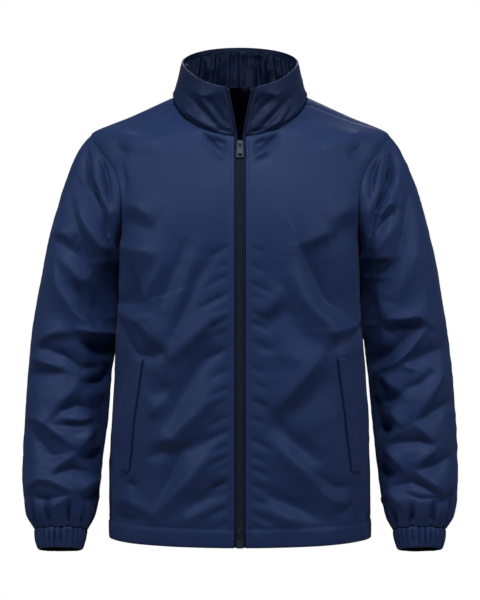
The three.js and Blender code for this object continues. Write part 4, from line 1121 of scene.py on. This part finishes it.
def pucker_folds(side):
    """Short troughs that fan out and down from the zip's topstitching."""
    rows = PUCKERS_RIGHT if side > 0 else PUCKERS_LEFT
    folds = []
    for z, length, depth in rows:
        reach = 1.5 * length
        near, far = (side * PUCKER_START, z), (side * (PUCKER_START + reach), z - PUCKER_FALL * reach)
        folds.append((-1.15 * depth, 1, 3, 5, [near, far] if side > 0 else [far, near]))
    return folds


def pocket_slit(grid, levels, side):
    """The shadowed opening beside the welt, and the dip of the cloth along the welt's other edge."""
    edges = np.cumsum(list(FRONT_COUNTS.values()))
    opening, outer = edges[3], edges[4]
    if side < 0:
        opening, outer = grid.shape[1] - 1 - opening, grid.shape[1] - 1 - outer
    around = measure(grid, 1)
    slit = np.exp(-(((around - around[:, opening, None]) / 1.8) ** 2))
    seam = np.exp(-(((around - around[:, outer, None]) / 2.2) ** 2))
    inside = smooth((POCKET_TOP["level"] - levels) / 4) * smooth((levels - POCKET_BOTTOM["level"]) / 4)
    return -inside[:, None] * (2.6 * slit + 0.8 * seam)


def front_heights(grid, levels, side):
    """Folds, seams and puckers of a front panel."""
    x, z = grid[..., 0], grid[..., 2]
    fade, inside = edge_fade(grid, 9)
    folds = FRONT_FOLDS + pucker_folds(side)
    heights = fade * fold_height(folds, x, z) * top_fade(levels)
    from_middle = np.abs(x)
    below_neck = smooth((-70 - z) / 10)
    heights -= 1.1 * below_neck * np.exp(-(((from_middle - TOPSTITCH_X) / 1.4) ** 2))
    heights += 0.5 * below_neck * np.exp(-(((from_middle - LADDER_X) / 2) ** 2))
    return heights + pocket_slit(grid, levels, side) + seam_valley(inside) + hem_relief(grid, levels)


def make_fronts(sizes, colours):
    made = {}
    cell = sizes.cell / MM
    for name, side in SIDES:
        levels, grid = front_panel(side, cell)
        grid = softened(grid, levels)
        heights = front_heights(grid, levels, side) + neck_valley(levels)
        lower = smooth((-150 - grid[..., 2]) / 200)
        fade = edge_fade(grid, 10)[0]
        heights += soft_swell(grid, 11) * (0.3 + 0.7 * lower) * fade
        heights += crumple(grid, sizes.crumple / MM, 34, 11) * (0.2 + 0.8 * lower) * fade
        shape = outward(grid, heights)
        materials = [cloth(colours), backing(colours)]
        thing = sheet_object(f"front_{name}_cloth", shape, materials, sizes.wall / MM)
        wear(thing, grid, [f"front_{name}"])
        made[name] = (levels, shape)
        last = shape.shape[1] - 1
        ladder, topstitch = np.cumsum(list(FRONT_COUNTS.values()))[:2]
        keep_stitch_line(shape, slice(4, -6), topstitch if side > 0 else last - topstitch)
        low = np.where(levels < LADDER_TOP)[0]
        keep_stitch_line(shape, slice(4, low[-1]), ladder if side > 0 else last - ladder, stout=True)
        row = int(np.argmin(np.abs(levels - HEM_STITCH_LEVEL)))
        keep_stitch_line(shape, row, slice(0, None))
    return made


def make_back(sizes, colours):
    cell = sizes.cell / MM
    levels = panel_levels(cell)
    loop = body_loop(levels)
    start = back_start_angle(levels) + 0.0008
    angles = spread([start, 2 * np.pi - start], [150])
    loop = {name: value[:, None] for name, value in loop.items()}
    grid = softened(loop_point(loop, angles), levels)
    fade, inside = edge_fade(grid, 14)
    heights = fade * fold_height(BACK_FOLDS, -grid[..., 0], grid[..., 2]) * top_fade(levels)
    heights += seam_valley(inside) + hem_relief(grid, levels)
    lower = smooth((-150 - grid[..., 2]) / 200)
    fade = edge_fade(grid, 10)[0]
    heights += soft_swell(grid, 12) * (0.4 + 0.6 * lower) * fade
    heights += crumple(grid, sizes.crumple / MM, 34, 12) * (0.3 + 0.7 * lower) * fade
    shape = outward(grid, heights)
    thing = sheet_object("back_cloth", shape, [cloth(colours), backing(colours)], sizes.wall / MM)
    wear(thing, grid, ["back"])
    row = int(np.argmin(np.abs(levels - HEM_STITCH_LEVEL)))
    keep_stitch_line(shape, row, slice(0, None))
    return shape


# Sleeves


def armhole_point(angle):
    """Points of the armhole's edge, angle 0 at the shoulder and 180 degrees at the armpit."""
    on_front = angle <= np.pi
    climb = np.where(on_front, 1 - angle / np.pi, angle / np.pi - 1)
    share = (1 - np.cos(np.pi * climb)) / 2
    level = ARMPIT_LEVEL + share * (SHOULDER_LEVEL - ARMPIT_LEVEL)
    turn = np.where(on_front, front_end_angle(level), back_start_angle(level))
    return loop_point(body_loop(level), turn)


def plain_ring_point(ring, angle):
    row = read_row(SLEEVE_RINGS, "ring", ring)
    outer = np.stack([row["outer_x"], row["middle_y"], row["outer_z"]], axis=-1)
    inner = np.stack([row["inner_x"], row["middle_y"], row["inner_z"]], axis=-1)
    lean = np.radians(row["lean"])
    to_front = np.stack([np.zeros_like(lean), -np.cos(lean), np.sin(lean)], axis=-1)
    reach = row["half_depth"][..., None] * to_front
    return (
        ((outer + inner) / 2)[:, None]
        + (outer - inner)[:, None] / 2 * np.cos(angle)[None, :, None]
        + reach[:, None] * np.sin(angle)[None, :, None]
    )


def sleeve_grid(rings, around):
    """Rings near the armhole take its shape, less and less of it down the sleeve."""
    angle = 2 * np.pi * np.arange(around) / around
    plain = plain_ring_point(rings, angle)
    first = plain_ring_point(np.array([0.0, 0.5]), angle)
    leave = first[1] - first[0]
    leave /= np.linalg.norm(leave, axis=-1, keepdims=True)
    start = armhole_point(angle) + leave * 0.3 + np.array([0.35, 0, 0])
    keep = (1 - smooth(rings / ARMHOLE_BLEND_RINGS))[:, None, None]
    return plain + keep * (start - first[0])


def sleeve_folds(base, side):
    """Folds of a sleeve. Its hidden half has those of the other sleeve, moved down."""
    tables = (LEFT_SLEEVE_FOLDS, RIGHT_SLEEVE_FOLDS)
    shown, hidden = tables if side < 0 else tables[::-1]
    toward = grid_normals(base, True)[..., 1]
    facing = smooth((np.abs(toward) - 0.08) / 0.3)
    x, z = base[..., 0] * side, base[..., 2]
    seen = fold_height(shown, x, z)
    unseen = 0.8 * fold_height(hidden, x, z - HIDDEN_SIDE_SHIFT)
    return facing * np.where(toward < 0, seen, unseen)


def flank_rest(base):
    """The fuller inner side of a sleeve where it lies against the flank."""
    out = np.abs(base[..., 0])
    middle = (out.max(axis=1, keepdims=True) + out.min(axis=1, keepdims=True)) / 2
    inner = np.clip((middle - out) / (middle - out.min(axis=1, keepdims=True)), 0, 1)
    return 4.5 * inner**3 * smooth((-235 - base[..., 2]) / 30) * smooth((base[..., 2] + 392) / 30)


def sleeve_gathers(base, rings, angle):
    """The gathers above the cuff: narrow hollows of uneven height between full rounded ones."""
    ring = rings[:, None]
    wander = 1.1 * noise(base, 44, 21)
    wave = 0.5 + 0.5 * np.cos(SLEEVE_GATHERS * angle[None] + wander)
    climb = GATHER_START_RING + 0.5 * noise(base[-1:], 30, 23)
    closing = 1 - 0.6 * smooth((ring - 15.45) / 0.5)
    return -9.5 * smooth((ring - climb) / 1.3) * closing * wave**4


def make_sleeves(sizes, colours):
    rings = spread([0.0, 0.4, 13.5, 16.0], [8, 206, 52])
    around = 176
    for name, side in SIDES:
        base = mirrored(sleeve_grid(rings, around), side)
        angle = 2 * np.pi * np.arange(around) / around
        if side < 0:
            angle = angle[::-1]
        ring = rings[:, None]
        ends = smooth(ring / 0.5)
        gathered = smooth((ring - GATHER_START_RING) / (15.5 - GATHER_START_RING))
        heights = ends * (1 - 0.8 * gathered) * sleeve_folds(base, side)
        heights += sleeve_gathers(base, rings, angle) + flank_rest(base)
        heights -= 0.4 * np.exp(-((ring / 0.18) ** 2))
        heights += crumple(base, 1.2 * sizes.crumple / MM, 26, 22) * ends * (1 - 0.7 * gathered)
        heights += 0.7 * soft_swell(base, 24) * ends * (1 - gathered)
        shape = outward(base, heights, True)
        seam = shape[:1] - grid_normals(shape, True)[:1] * 2.1 - (shape[4:5] - shape[:1]) * 0.9
        shape = np.concatenate([seam, shape])
        materials = [cloth(colours), backing(colours)]
        thing = sheet_object(f"sleeve_{name}_cloth", shape, materials, sizes.wall / MM, True)
        nodes = [f"sleeve_{name}_upper", f"sleeve_{name}_lower"]
        wear(thing, base, nodes)


def make_cuffs(sizes, colours):
    base = {name: values[-1] for name, values in SLEEVE_RINGS.items()}
    lean = math.radians(base["lean"])
    to_front = np.array([0, -math.cos(lean), math.sin(lean)])
    down = np.array([0, -math.sin(lean), -math.cos(lean)])
    around = 12 * CUFF_GATHERS
    angle = 2 * np.pi * np.arange(around) / around
    drops = np.append(0.0, np.linspace(0, 31, 19))
    row = read_row(CUFF_RINGS, "drop", drops)
    wander = 0.9 * noise(np.stack([40 * np.cos(angle), 40 * np.sin(angle), 0 * angle], axis=-1), 14, 33)
    groove = 4.4 * (0.5 + 0.5 * np.cos(CUFF_GATHERS * angle + wander)) ** 2 * (1 + 0.5 * wander)
    roll = 1.2 * (np.exp(-((drops / 1.6) ** 2)) + np.exp(-(((drops - 31) / 1.6) ** 2)))
    slack = 0.35 + 0.65 * np.sin(np.pi * np.clip(drops / 31, 0.06, 0.94))
    shrink = groove[None] * slack[:, None] + roll[:, None]
    shrink[0] = 7.5
    half_width = ((row["outer_x"] - row["inner_x"]) / 2)[:, None] - shrink
    half_depth = row["half_depth"][:, None] - shrink
    middle_x = ((row["outer_x"] + row["inner_x"]) / 2)[:, None]
    along = np.append(-3.0, drops[1:] + 0.3)
    middle = np.array([0, base["middle_y"], base["outer_z"]]) + down * along[:, None]
    grid = middle[:, None] + to_front * (half_depth * np.sin(angle))[..., None]
    grid[..., 0] += middle_x + half_width * np.cos(angle)
    for name, side in SIDES:
        placed = mirrored(grid, side)
        placed = outward(placed, 0.5 * noise(placed, 9, 31), True)
        materials = [cloth(colours), backing(colours)]
        thing = sheet_object(f"cuff_{name}_cloth", placed, materials, sizes.wall / MM, True)
        wear(thing, placed, [f"cuff_{name}"])


# Collar


def collar_grid(rows, columns):
    loop = read_row(COLLAR_LOOPS, "share", rows)
    start = angle_at_x(loop, loop["opening"])
    share = np.linspace(0, 1, columns)[None]
    angles = start[:, None] + share * (2 * np.pi - 2 * start)[:, None]
    loop = {name: value[:, None] for name, value in loop.items()}
    grid = loop_point(loop, angles)
    grid[..., 2] += 0.4
    return grid


def tucked(grid, depth, drop):
    """A first row for a grid, in behind its edge."""
    behind = grid[:1] - grid_normals(grid)[:1] * depth
    behind[..., 2] -= drop
    return np.concatenate([behind, grid])


def rolled_over(grid, radius):
    """Rows that turn a grid's top edge inwards."""
    normals = grid_normals(grid)[-1]
    up = grid[-1] - grid[-2]
    up /= np.linalg.norm(up, axis=-1, keepdims=True)
    turns = np.radians([30, 60, 90, 120])[:, None, None]
    rows = grid[-1] + up * radius * np.sin(turns) - normals * radius * (1 - np.cos(turns))
    return np.concatenate([grid, rows])


def make_collar(sizes, colours):
    rows = np.linspace(0, 1, 40)
    columns = 260
    wall = sizes.wall / MM
    grid = collar_grid(rows, columns)
    around = measure(grid, 1)
    from_end = np.minimum(around, around[:, -1:] - around)
    height = rows[:, None]
    in_front = grid_normals(grid)[..., 1] < 0
    x, z = grid[..., 0], grid[..., 2]
    folds = np.where(in_front, fold_height(COLLAR_FOLDS, x, z), fold_height(COLLAR_BACK_FOLDS, -x, z))
    below_edge = smooth((1 - height) / 0.1)
    relief = folds * smooth(from_end / 7) * smooth(height / 0.08) * below_edge
    relief -= 1.5 * np.exp(-((height / 0.035) ** 2)) + 0.6 * np.exp(-((from_end / 1.5) ** 2))
    relief += 1.3 * np.exp(-(((height - 0.12) / 0.06) ** 2)) * smooth(from_end / 7)
    relief += crumple(grid, 0.5, 22, 41) * smooth(from_end / 8) * smooth(height / 0.1) * below_edge
    shape = outward(grid, relief)
    worn = rolled_over(tucked(shape, wall + 0.6, 2.2), wall + 0.15)
    # The outer collar takes the darker collar colour, which is painted shade.
    thing = sheet_object("collar_cloth_painted_shade", worn, [collar_cloth_painted_shade(colours), backing(colours)], wall)
    wear(thing, grid, ["collar_outer"])
    free = smooth((from_end - 6) / 12) * smooth((0.94 - height) / 0.1)
    line = grid[20]
    gather = 1.3 * noise(line, 15, 42) + 0.7 * noise(line, 7, 43)
    gather = np.clip(0.5 + 0.8 * gather[None] + 0.5 * noise(grid, 24, 44), 0, 1.5)
    depth = wall + 0.5 - np.minimum(relief, 0) + free * 8.5 * gather
    inside = grid - grid_normals(grid) * depth[..., None]
    keep_stitch_line(shape, slice(1, -1), 4)
    keep_stitch_line(shape, slice(1, -1), columns - 5)
    # This stitch line along the top edge, in lighter thread, paints the highlight on the rolled-over edge.
    keep_stitch_line(shape, -1, slice(3, -3))
    inside = inside[:, ::-1]
    thing = sheet_object("collar_lining_cloth", inside, [lining(colours), lining(colours)], 0.8)
    wear(thing, inside, ["collar_lining"])
    return shape


# Pockets


def make_pockets(colours, fronts):
    for name, side in SIDES:
        levels, shape = fronts[name]
        first = sum(list(FRONT_COUNTS.values())[:4])
        span = FRONT_COUNTS["welt"]
        if side < 0:
            first = shape.shape[1] - 1 - first - span
        rows = np.where((levels <= POCKET_TOP["level"] + 1) & (levels >= POCKET_BOTTOM["level"] - 1))[0]
        patch = shape[rows[0] : rows[-1] + 1, first : first + span + 1]
        normals = grid_normals(shape)[rows[0] : rows[-1] + 1, first : first + span + 1]
        across = np.linspace(0, 1, span + 1)[None]
        crown = 1 - 0.35 * (2 * across - 1) ** 2 * np.ones((len(rows), 1))
        placed = patch + normals * (0.3 + 1.4 * crown)[..., None]
        thing = sheet_object(f"welt_{name}_cloth", placed, [cloth(colours), cloth(colours)], 1.2)
        wear(thing, placed, [f"pocket_welt_{name}"])
        inner = 1 if side > 0 else span - 1
        keep_stitch_line(placed, slice(0, None), inner)
        keep_stitch_line(placed, 2, slice(0, None))
        keep_stitch_line(placed, -3, slice(0, None))


# Neck tape


def make_neck_tape(sizes, colours):
    levels = np.linspace(-11, -0.5, 8)
    loop = {name: value[:, None] for name, value in body_loop(levels).items()}
    angles = np.pi + np.linspace(-0.16, 0.16, 21)[None] * np.ones((8, 1))
    grid = loop_point(loop, angles)
    over = grid[-1:] + np.array([0, 0, 1.0]) * np.array([2.0, 4.5])[:, None, None]
    grid = np.concatenate([grid, over])
    grid = grid - grid_normals(grid) * (sizes.wall / MM + 2.2)
    inside = grid[:, ::-1]
    thing = sheet_object("neck_tape_cloth", inside, [tape(colours), tape(colours)], 0.9)
    wear(thing, inside, ["neck_tape"])


# Zip


def front_line(z, x=0.0):
    """Points of the front line at heights, a distance to one side of the middle."""
    z = np.asarray(z, float)
    y = read(BODY_MIDDLES, "front_z", "front_y", z)
    return np.stack([np.full_like(y, x), y, z], axis=-1)


def collar_edge(share, inset):
    """Points beside the collar's front edge, in from it towards the opening."""
    loop = read_row(COLLAR_LOOPS, "share", np.asarray(share, float))
    points = loop_point(loop, angle_at_x(loop, loop["opening"] - inset))
    points[..., 2] += 0.3
    return points


def opened_inset(z, inset):
    """Above the slider the tapes turn edge on, so that they look narrower the nearer they are to it."""
    narrow = smooth((z - SLIDER_Z - 2) / 6)
    opened = OPEN_NARROWING + (OPEN_TOP_WIDTH - OPEN_NARROWING) * np.clip((z - SLIDER_Z - 8) / 78, 0, 1)
    return inset * (1 + narrow * (opened - 1)) if inset > 0 else inset + 0 * z


def zip_path(inset, bottom, top_share):
    """The zip's line from a height on the front up to a share of the collar's height."""
    neck = BODY_MIDDLES["front_z"][-1]
    heights = np.arange(bottom, neck - 2, 3.0)
    lower = front_line(heights)
    lower[:, 0] = PANEL_EDGE - opened_inset(heights, inset)
    shares = np.linspace(0.0, top_share, 24)
    upper = collar_edge(shares, opened_inset(neck + shares * 71, inset))
    return np.concatenate([lower, upper])


def make_zip(sizes, colours):
    for name, side in SIDES:
        insets = np.array([-3.0, -1.6, -0.2, 0.9, 2.2, 4.0, 5.6, 7.2, PANEL_EDGE - 0.3])
        grid = np.stack([zip_path(inset, HEM_LEVEL + 0.5, 1.0) for inset in insets], axis=1)
        depth = 0.5 + 2.4 * smooth((0.9 - insets) / 2.4)
        if side > 0:
            grid, depth = grid[:, ::-1], depth[::-1]
        else:
            grid = grid * np.array([-1, 1, 1])
        grid = grid - grid_normals(grid) * depth[None, :, None]
        thing = sheet_object(f"zip_tape_{name}_cloth", grid, [tape(colours), tape(colours)], 0.8)
        wear(thing, grid, [f"zip_tape_{name}"])
    pitch = sizes.tooth_pitch / MM
    at = np.arange(CHAIN_BOTTOM, CHAIN_TOP, pitch)
    shares = (0.08, 0.3, 0.7, 0.92)
    swell = (0.75, 1.0, 1.0, 0.75)
    starts, ends, normals = [], [], []
    for side, shift in ((-1, 0.0), (1, pitch / 2)):
        line = front_line(at + shift)
        starts.append(line + np.array([side * -0.5, -0.35, 0]))
        ends.append(line + np.array([side * 3.2, -0.3, 0]))
        normals.append(np.tile([0.0, -1.0, 0.0], (len(at), 1)))
    starts, ends, normals = (np.concatenate(a) for a in (starts, ends, normals))
    thing = strands("zip_teeth", starts, ends, normals, 1.05, 1.1, 6, shares, swell, coil(colours))
    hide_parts("zip_chain")
    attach(thing, "jacket")
    for name, side in SIDES:
        path = zip_path(COIL_INSET + COIL_WIDTH / 2, OPEN_COIL_BOTTOM, OPEN_COIL_TOP) * np.array([side, 1, 1])
        near = zip_path(COIL_INSET, OPEN_COIL_BOTTOM, OPEN_COIL_TOP) * np.array([side, 1, 1])
        spots, lengths = along_line(path, pitch)
        centre, outer = read_line(path, lengths, spots), read_line(near, lengths, spots)
        inner = 2 * centre - outer
        up = np.tile([0.0, -1.0, 0.0], (len(spots), 1))
        lift = up * 0.3
        ends = (outer + lift, inner + lift)
        thing = strands(f"zip_open_teeth_{name}", *ends, up, 1.05, 1.2, 6, shares, swell, coil(colours))
        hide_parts(f"zip_coil_{name}")
        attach(thing, "jacket")
    make_ribs(colours)
    make_tab(colours)
    for node in ("zip_slider", "zip_box", "zip_stop_left", "zip_stop_right"):
        thing = cad_node(node)
        thing.data.materials.clear()
        thing.data.materials.append(metal(colours))


def flat_block(name, half_width, half_depth, low, top, corner, top_share=1.0):
    """A flat block with rounded corners in its outline, narrower at the top by a share."""
    bpy.ops.object.select_all(action="DESELECT")
    bpy.ops.mesh.primitive_cube_add(size=2, location=(0, 0, 0))
    thing = bpy.context.object
    thing.name = name
    thing.scale = (half_width * MM, half_depth * MM, (top - low) / 2 * MM)
    thing.location = (0, 0, (top + low) / 2 * MM)
    bpy.ops.object.transform_apply(location=True, rotation=True, scale=True)
    middle = (top + low) / 2 * MM
    for vertex in thing.data.vertices:
        vertex.select = vertex.co.z > middle
    pick_and(thing, lambda: bpy.ops.transform.resize(value=(top_share, 1, 1)), "VERT")
    for edge in thing.data.edges:
        first, second = (thing.data.vertices[i].co for i in edge.vertices)
        edge.select = abs(first.y - second.y) > half_depth * MM
    pick_and(thing, lambda: bpy.ops.mesh.bevel(offset=corner * MM, segments=5, affect="EDGES"), "EDGE")
    return thing


def pick_and(thing, act, kind):
    """Acts in edit mode on the vertices or edges of a mesh that are marked as selected."""
    wanted = thing.data.vertices if kind == "VERT" else thing.data.edges
    marked = [item.select for item in wanted]
    bpy.ops.object.mode_set(mode="EDIT")
    bpy.ops.mesh.select_mode(type=kind)
    bpy.ops.mesh.select_all(action="DESELECT")
    bpy.ops.object.mode_set(mode="OBJECT")
    wanted.foreach_set("select", marked)
    bpy.ops.object.mode_set(mode="EDIT")
    act()
    bpy.ops.object.mode_set(mode="OBJECT")


def apply_modifier(thing, kind, **settings):
    """Adds a modifier and applies it."""
    bpy.ops.object.select_all(action="DESELECT")
    thing.select_set(True)
    bpy.context.view_layer.objects.active = thing
    modifier = thing.modifiers.new(kind.title(), kind)
    for name, value in settings.items():
        setattr(modifier, name, value)
    bpy.ops.object.modifier_apply(modifier=modifier.name)


def make_tab(colours):
    """The pull tab: a tapered plate with a slot over its crossbar and a wide hole near its end."""
    sizes = (TAB["half_width"], TAB["half_wall"], -TAB["length"], TAB["top"], 1.5, TAB["top_share"])
    tab = flat_block("zip_tab", *sizes)
    for low, top, half_width, corner in (TAB["slot"], TAB["hole"]):
        cutter = flat_block("cutter", half_width, 3, low, top, corner)
        apply_modifier(tab, "BOOLEAN", operation="DIFFERENCE", solver="EXACT", object=cutter)
        bpy.data.objects.remove(cutter, do_unlink=True)
    sharp = math.radians(40)
    apply_modifier(tab, "BEVEL", width=0.22 * MM, segments=2, limit_method="ANGLE", angle_limit=sharp)
    low, high = front_line(np.array([SLIDER_Z - SLIDER_HALF_HEIGHT, SLIDER_Z + SLIDER_HALF_HEIGHT]))
    tilt = -math.atan2(high[1] - low[1], high[2] - low[2])
    tab.rotation_euler = (tilt, 0, 0)
    tab.location = TAB_PIVOT
    bpy.ops.object.select_all(action="DESELECT")
    tab.select_set(True)
    bpy.context.view_layer.objects.active = tab
    bpy.ops.object.transform_apply(location=True, rotation=True, scale=True)
    bpy.ops.object.shade_smooth_by_angle(angle=math.radians(35))
    tab.data.materials.append(metal(colours))
    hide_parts("zip_pull")
    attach(tab, "pull_tab")


def make_ribs(colours):
    """The raised outer loops of both coils as two cords down the closed zip, in a painted highlight colour.
    """
    at = np.arange(CHAIN_BOTTOM, CHAIN_TOP, 5.0)
    starts, ends = [], []
    for x in (-RIB_X, RIB_X):
        line = front_line(np.append(at, CHAIN_TOP), x) + np.array([0, -0.95, 0])
        starts.append(line[:-1])
        ends.append(line[1:])
    starts, ends = np.concatenate(starts), np.concatenate(ends)
    up = np.tile([0.0, -1.0, 0.0], (len(starts), 1))
    thing = strands("zip_ribs", starts, ends, up, 0.9, 0.8, 8, (0.0, 1.0), (1.0, 1.0), rib_highlight(colours))
    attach(thing, "jacket")


def cad_node(name):
    for thing in bpy.context.scene.objects:
        if thing.get("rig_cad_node") == name:
            return thing
    raise RuntimeError(f"there is no solid named {name}")


def make_stitching(sizes, colours):
    length = sizes.stitch / MM
    # The fine stitching holds the line along the collar's top edge, a painted highlight of its rolled edge.
    for name, is_stout in (("stitching", False), ("zip_facing_stitching", True)):
        gap = STOUT_GAP if is_stout else FINE_GAP
        lines = [(line, turned) for line, turned, stout in STITCH_LINES if stout == is_stout]
        parts = [stitches_on(line, turned, length, gap, 0.12) for line, turned in lines]
        starts, ends, normals = (np.concatenate([part[i] for part in parts]) for i in range(3))
        width = sizes.thread / MM * (1.5 if is_stout else 1)
        shares, swell = (0.1, 0.3, 0.7, 0.9), (0.7, 1, 1, 0.7)
        thing = strands(name, starts, ends, normals, width, width, 6, shares, swell, thread(colours))
        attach(thing, "jacket")


# Stage

CAMERA_DISTANCE = 2.6
CAMERA_HEIGHT = -0.3195
VIEW_HEIGHT = 0.946
SENSOR = 36.0


def make_stage(colours):
    scene = bpy.context.scene
    camera = bpy.data.objects.new("Camera", bpy.data.cameras.new("Camera"))
    camera.data.sensor_width = SENSOR
    camera.data.lens = SENSOR / 2 / (VIEW_HEIGHT / 2 / CAMERA_DISTANCE)
    camera.location = (0, -CAMERA_DISTANCE, CAMERA_HEIGHT)
    camera.rotation_euler = (math.pi / 2, 0, 0)
    scene.collection.objects.link(camera)
    scene.camera = camera
    lamps = [
        ("Key", (0.05, -1.6, 2.2), 0.6, 40, (0, 0, -0.35)),
        ("Side left", (-2.0, -1.35, 0.75), 0.6, 21, (0, 0, -0.4)),
        ("Side right", (2.0, -1.35, 0.75), 0.6, 19, (0, 0, -0.4)),
        ("Rear", (0.3, 2.2, 1.6), 1.2, 16, (0, 0, -0.3)),
    ]
    for name, place, size, power, aim in lamps:
        data = bpy.data.lights.new(name, "AREA")
        data.size = size
        data.energy = power
        lamp = bpy.data.objects.new(name, data)
        lamp.location = place
        direction = np.array(aim) - np.array(place)
        lamp.rotation_euler = Vector(direction).to_track_quat("-Z", "Y").to_euler()
        scene.collection.objects.link(lamp)
    bpy.ops.object.select_all(action="DESELECT")
    bpy.ops.mesh.primitive_circle_add(vertices=96, radius=1.3, fill_type="NGON", location=(0, 0, -1.9))
    floor = bpy.context.object
    floor.name = "Floor"
    bpy.ops.object.transform_apply(location=True, rotation=True, scale=True)
    material, maker, shader = new_material("Studio floor")
    grain = maker.node("ShaderNodeTexNoise", {"Scale": 3.0, "Detail": 2.0})
    mixed = maker.node("ShaderNodeMix", {"Factor": grain.outputs["Fac"]}, data_type="RGBA")
    mixed.inputs[6].default_value = tuple(colours.floor)
    mixed.inputs[7].default_value = (0.9, 0.9, 0.9, 1)
    maker.tree.links.new(mixed.outputs[2], shader.inputs["Base Color"])
    shader.inputs["Roughness"].default_value = 0.9
    floor.data.materials.append(material)
    world = bpy.data.worlds.new("Studio")
    scene.world = world
    world.use_nodes = True
    maker = NodeMaker(world.node_tree)
    background = world.node_tree.nodes["Background"]
    seen = maker.node("ShaderNodeLightPath").outputs["Is Camera Ray"]
    shown = maker.node("ShaderNodeBackground", {"Color": (1, 1, 1, 1), "Strength": 1.0})
    background.inputs["Color"].default_value = (0.9, 0.94, 1.0, 1)
    background.inputs["Strength"].default_value = 0.05
    mix = maker.node("ShaderNodeMixShader", {0: seen, 1: background.outputs[0], 2: shown.outputs[0]})
    world.node_tree.links.new(mix.outputs[0], world.node_tree.nodes["World Output"].inputs["Surface"])
    scene.view_settings.view_transform = "Standard"


# Operators

# The front panels' shapes, on which the pockets are laid
FRONT_SHAPES = {}


class PieceOperator(bpy.types.Operator):
    """Shared by the operators that sew the jacket."""

    bl_options = {"REGISTER", "UNDO"}

    def execute(self, context):
        self.make(context.scene.jacket_sizes, context.scene.jacket_colours)
        return {"FINISHED"}


class JACKET_OT_stage(PieceOperator):
    """Set the camera, lights and floor"""

    bl_idname = "jacket.stage"
    bl_label = "Stage"

    def make(self, sizes, colours):
        make_stage(colours)


class JACKET_OT_fronts(PieceOperator):
    """Sew both front panels"""

    bl_idname = "jacket.fronts"
    bl_label = "Fronts"

    def make(self, sizes, colours):
        FRONT_SHAPES.update(make_fronts(sizes, colours))


class JACKET_OT_back(PieceOperator):
    """Sew the back panel"""

    bl_idname = "jacket.back"
    bl_label = "Back"

    def make(self, sizes, colours):
        make_back(sizes, colours)


class JACKET_OT_sleeves(PieceOperator):
    """Sew both sleeves"""

    bl_idname = "jacket.sleeves"
    bl_label = "Sleeves"

    def make(self, sizes, colours):
        make_sleeves(sizes, colours)


class JACKET_OT_cuffs(PieceOperator):
    """Gather both elastic cuffs"""

    bl_idname = "jacket.cuffs"
    bl_label = "Cuffs"

    def make(self, sizes, colours):
        make_cuffs(sizes, colours)


class JACKET_OT_collar(PieceOperator):
    """Sew the collar and its lining"""

    bl_idname = "jacket.collar"
    bl_label = "Collar"

    def make(self, sizes, colours):
        make_collar(sizes, colours)


class JACKET_OT_pockets(PieceOperator):
    """Lay the pocket welts on the fronts"""

    bl_idname = "jacket.pockets"
    bl_label = "Pockets"

    def make(self, sizes, colours):
        make_pockets(colours, FRONT_SHAPES)


class JACKET_OT_neck_tape(PieceOperator):
    """Lay the tape inside the back of the neck"""

    bl_idname = "jacket.neck_tape"
    bl_label = "Neck tape"

    def make(self, sizes, colours):
        make_neck_tape(sizes, colours)


class JACKET_OT_zip(PieceOperator):
    """Fit the zip with its tapes, teeth, slider and tab"""

    bl_idname = "jacket.zip"
    bl_label = "Zip"

    def make(self, sizes, colours):
        make_zip(sizes, colours)


class JACKET_OT_stitching(PieceOperator):
    """Run the stitching along the seams"""

    bl_idname = "jacket.stitching"
    bl_label = "Stitching"

    def make(self, sizes, colours):
        make_stitching(sizes, colours)


OPERATORS = (
    JACKET_OT_stage,
    JACKET_OT_fronts,
    JACKET_OT_back,
    JACKET_OT_sleeves,
    JACKET_OT_cuffs,
    JACKET_OT_collar,
    JACKET_OT_pockets,
    JACKET_OT_neck_tape,
    JACKET_OT_zip,
    JACKET_OT_stitching,
)


class JACKET_PT_panel(bpy.types.Panel):
    """Lists the pieces of the jacket"""

    bl_idname = "JACKET_PT_panel"
    bl_label = "Windbreaker"
    bl_space_type = "VIEW_3D"
    bl_region_type = "UI"
    bl_category = "Jacket"

    def draw(self, context):
        for group in (context.scene.jacket_sizes, context.scene.jacket_colours):
            for name in group.__annotations__:
                self.layout.prop(group, name)
        for operator in OPERATORS:
            self.layout.operator(operator.bl_idname)


CLASSES = (JacketSizes, JacketColours, *OPERATORS, JACKET_PT_panel)


def register():
    for item in CLASSES:
        bpy.utils.register_class(item)
    bpy.types.Scene.jacket_sizes = bpy.props.PointerProperty(type=JacketSizes)
    bpy.types.Scene.jacket_colours = bpy.props.PointerProperty(type=JacketColours)


def unregister():
    del bpy.types.Scene.jacket_colours
    del bpy.types.Scene.jacket_sizes
    for item in reversed(CLASSES):
        bpy.utils.unregister_class(item)


def main():
    register()
    for operator in OPERATORS:
        getattr(bpy.ops.jacket, operator.bl_idname.split(".")[1])()


if __name__ == "__main__":
    main()
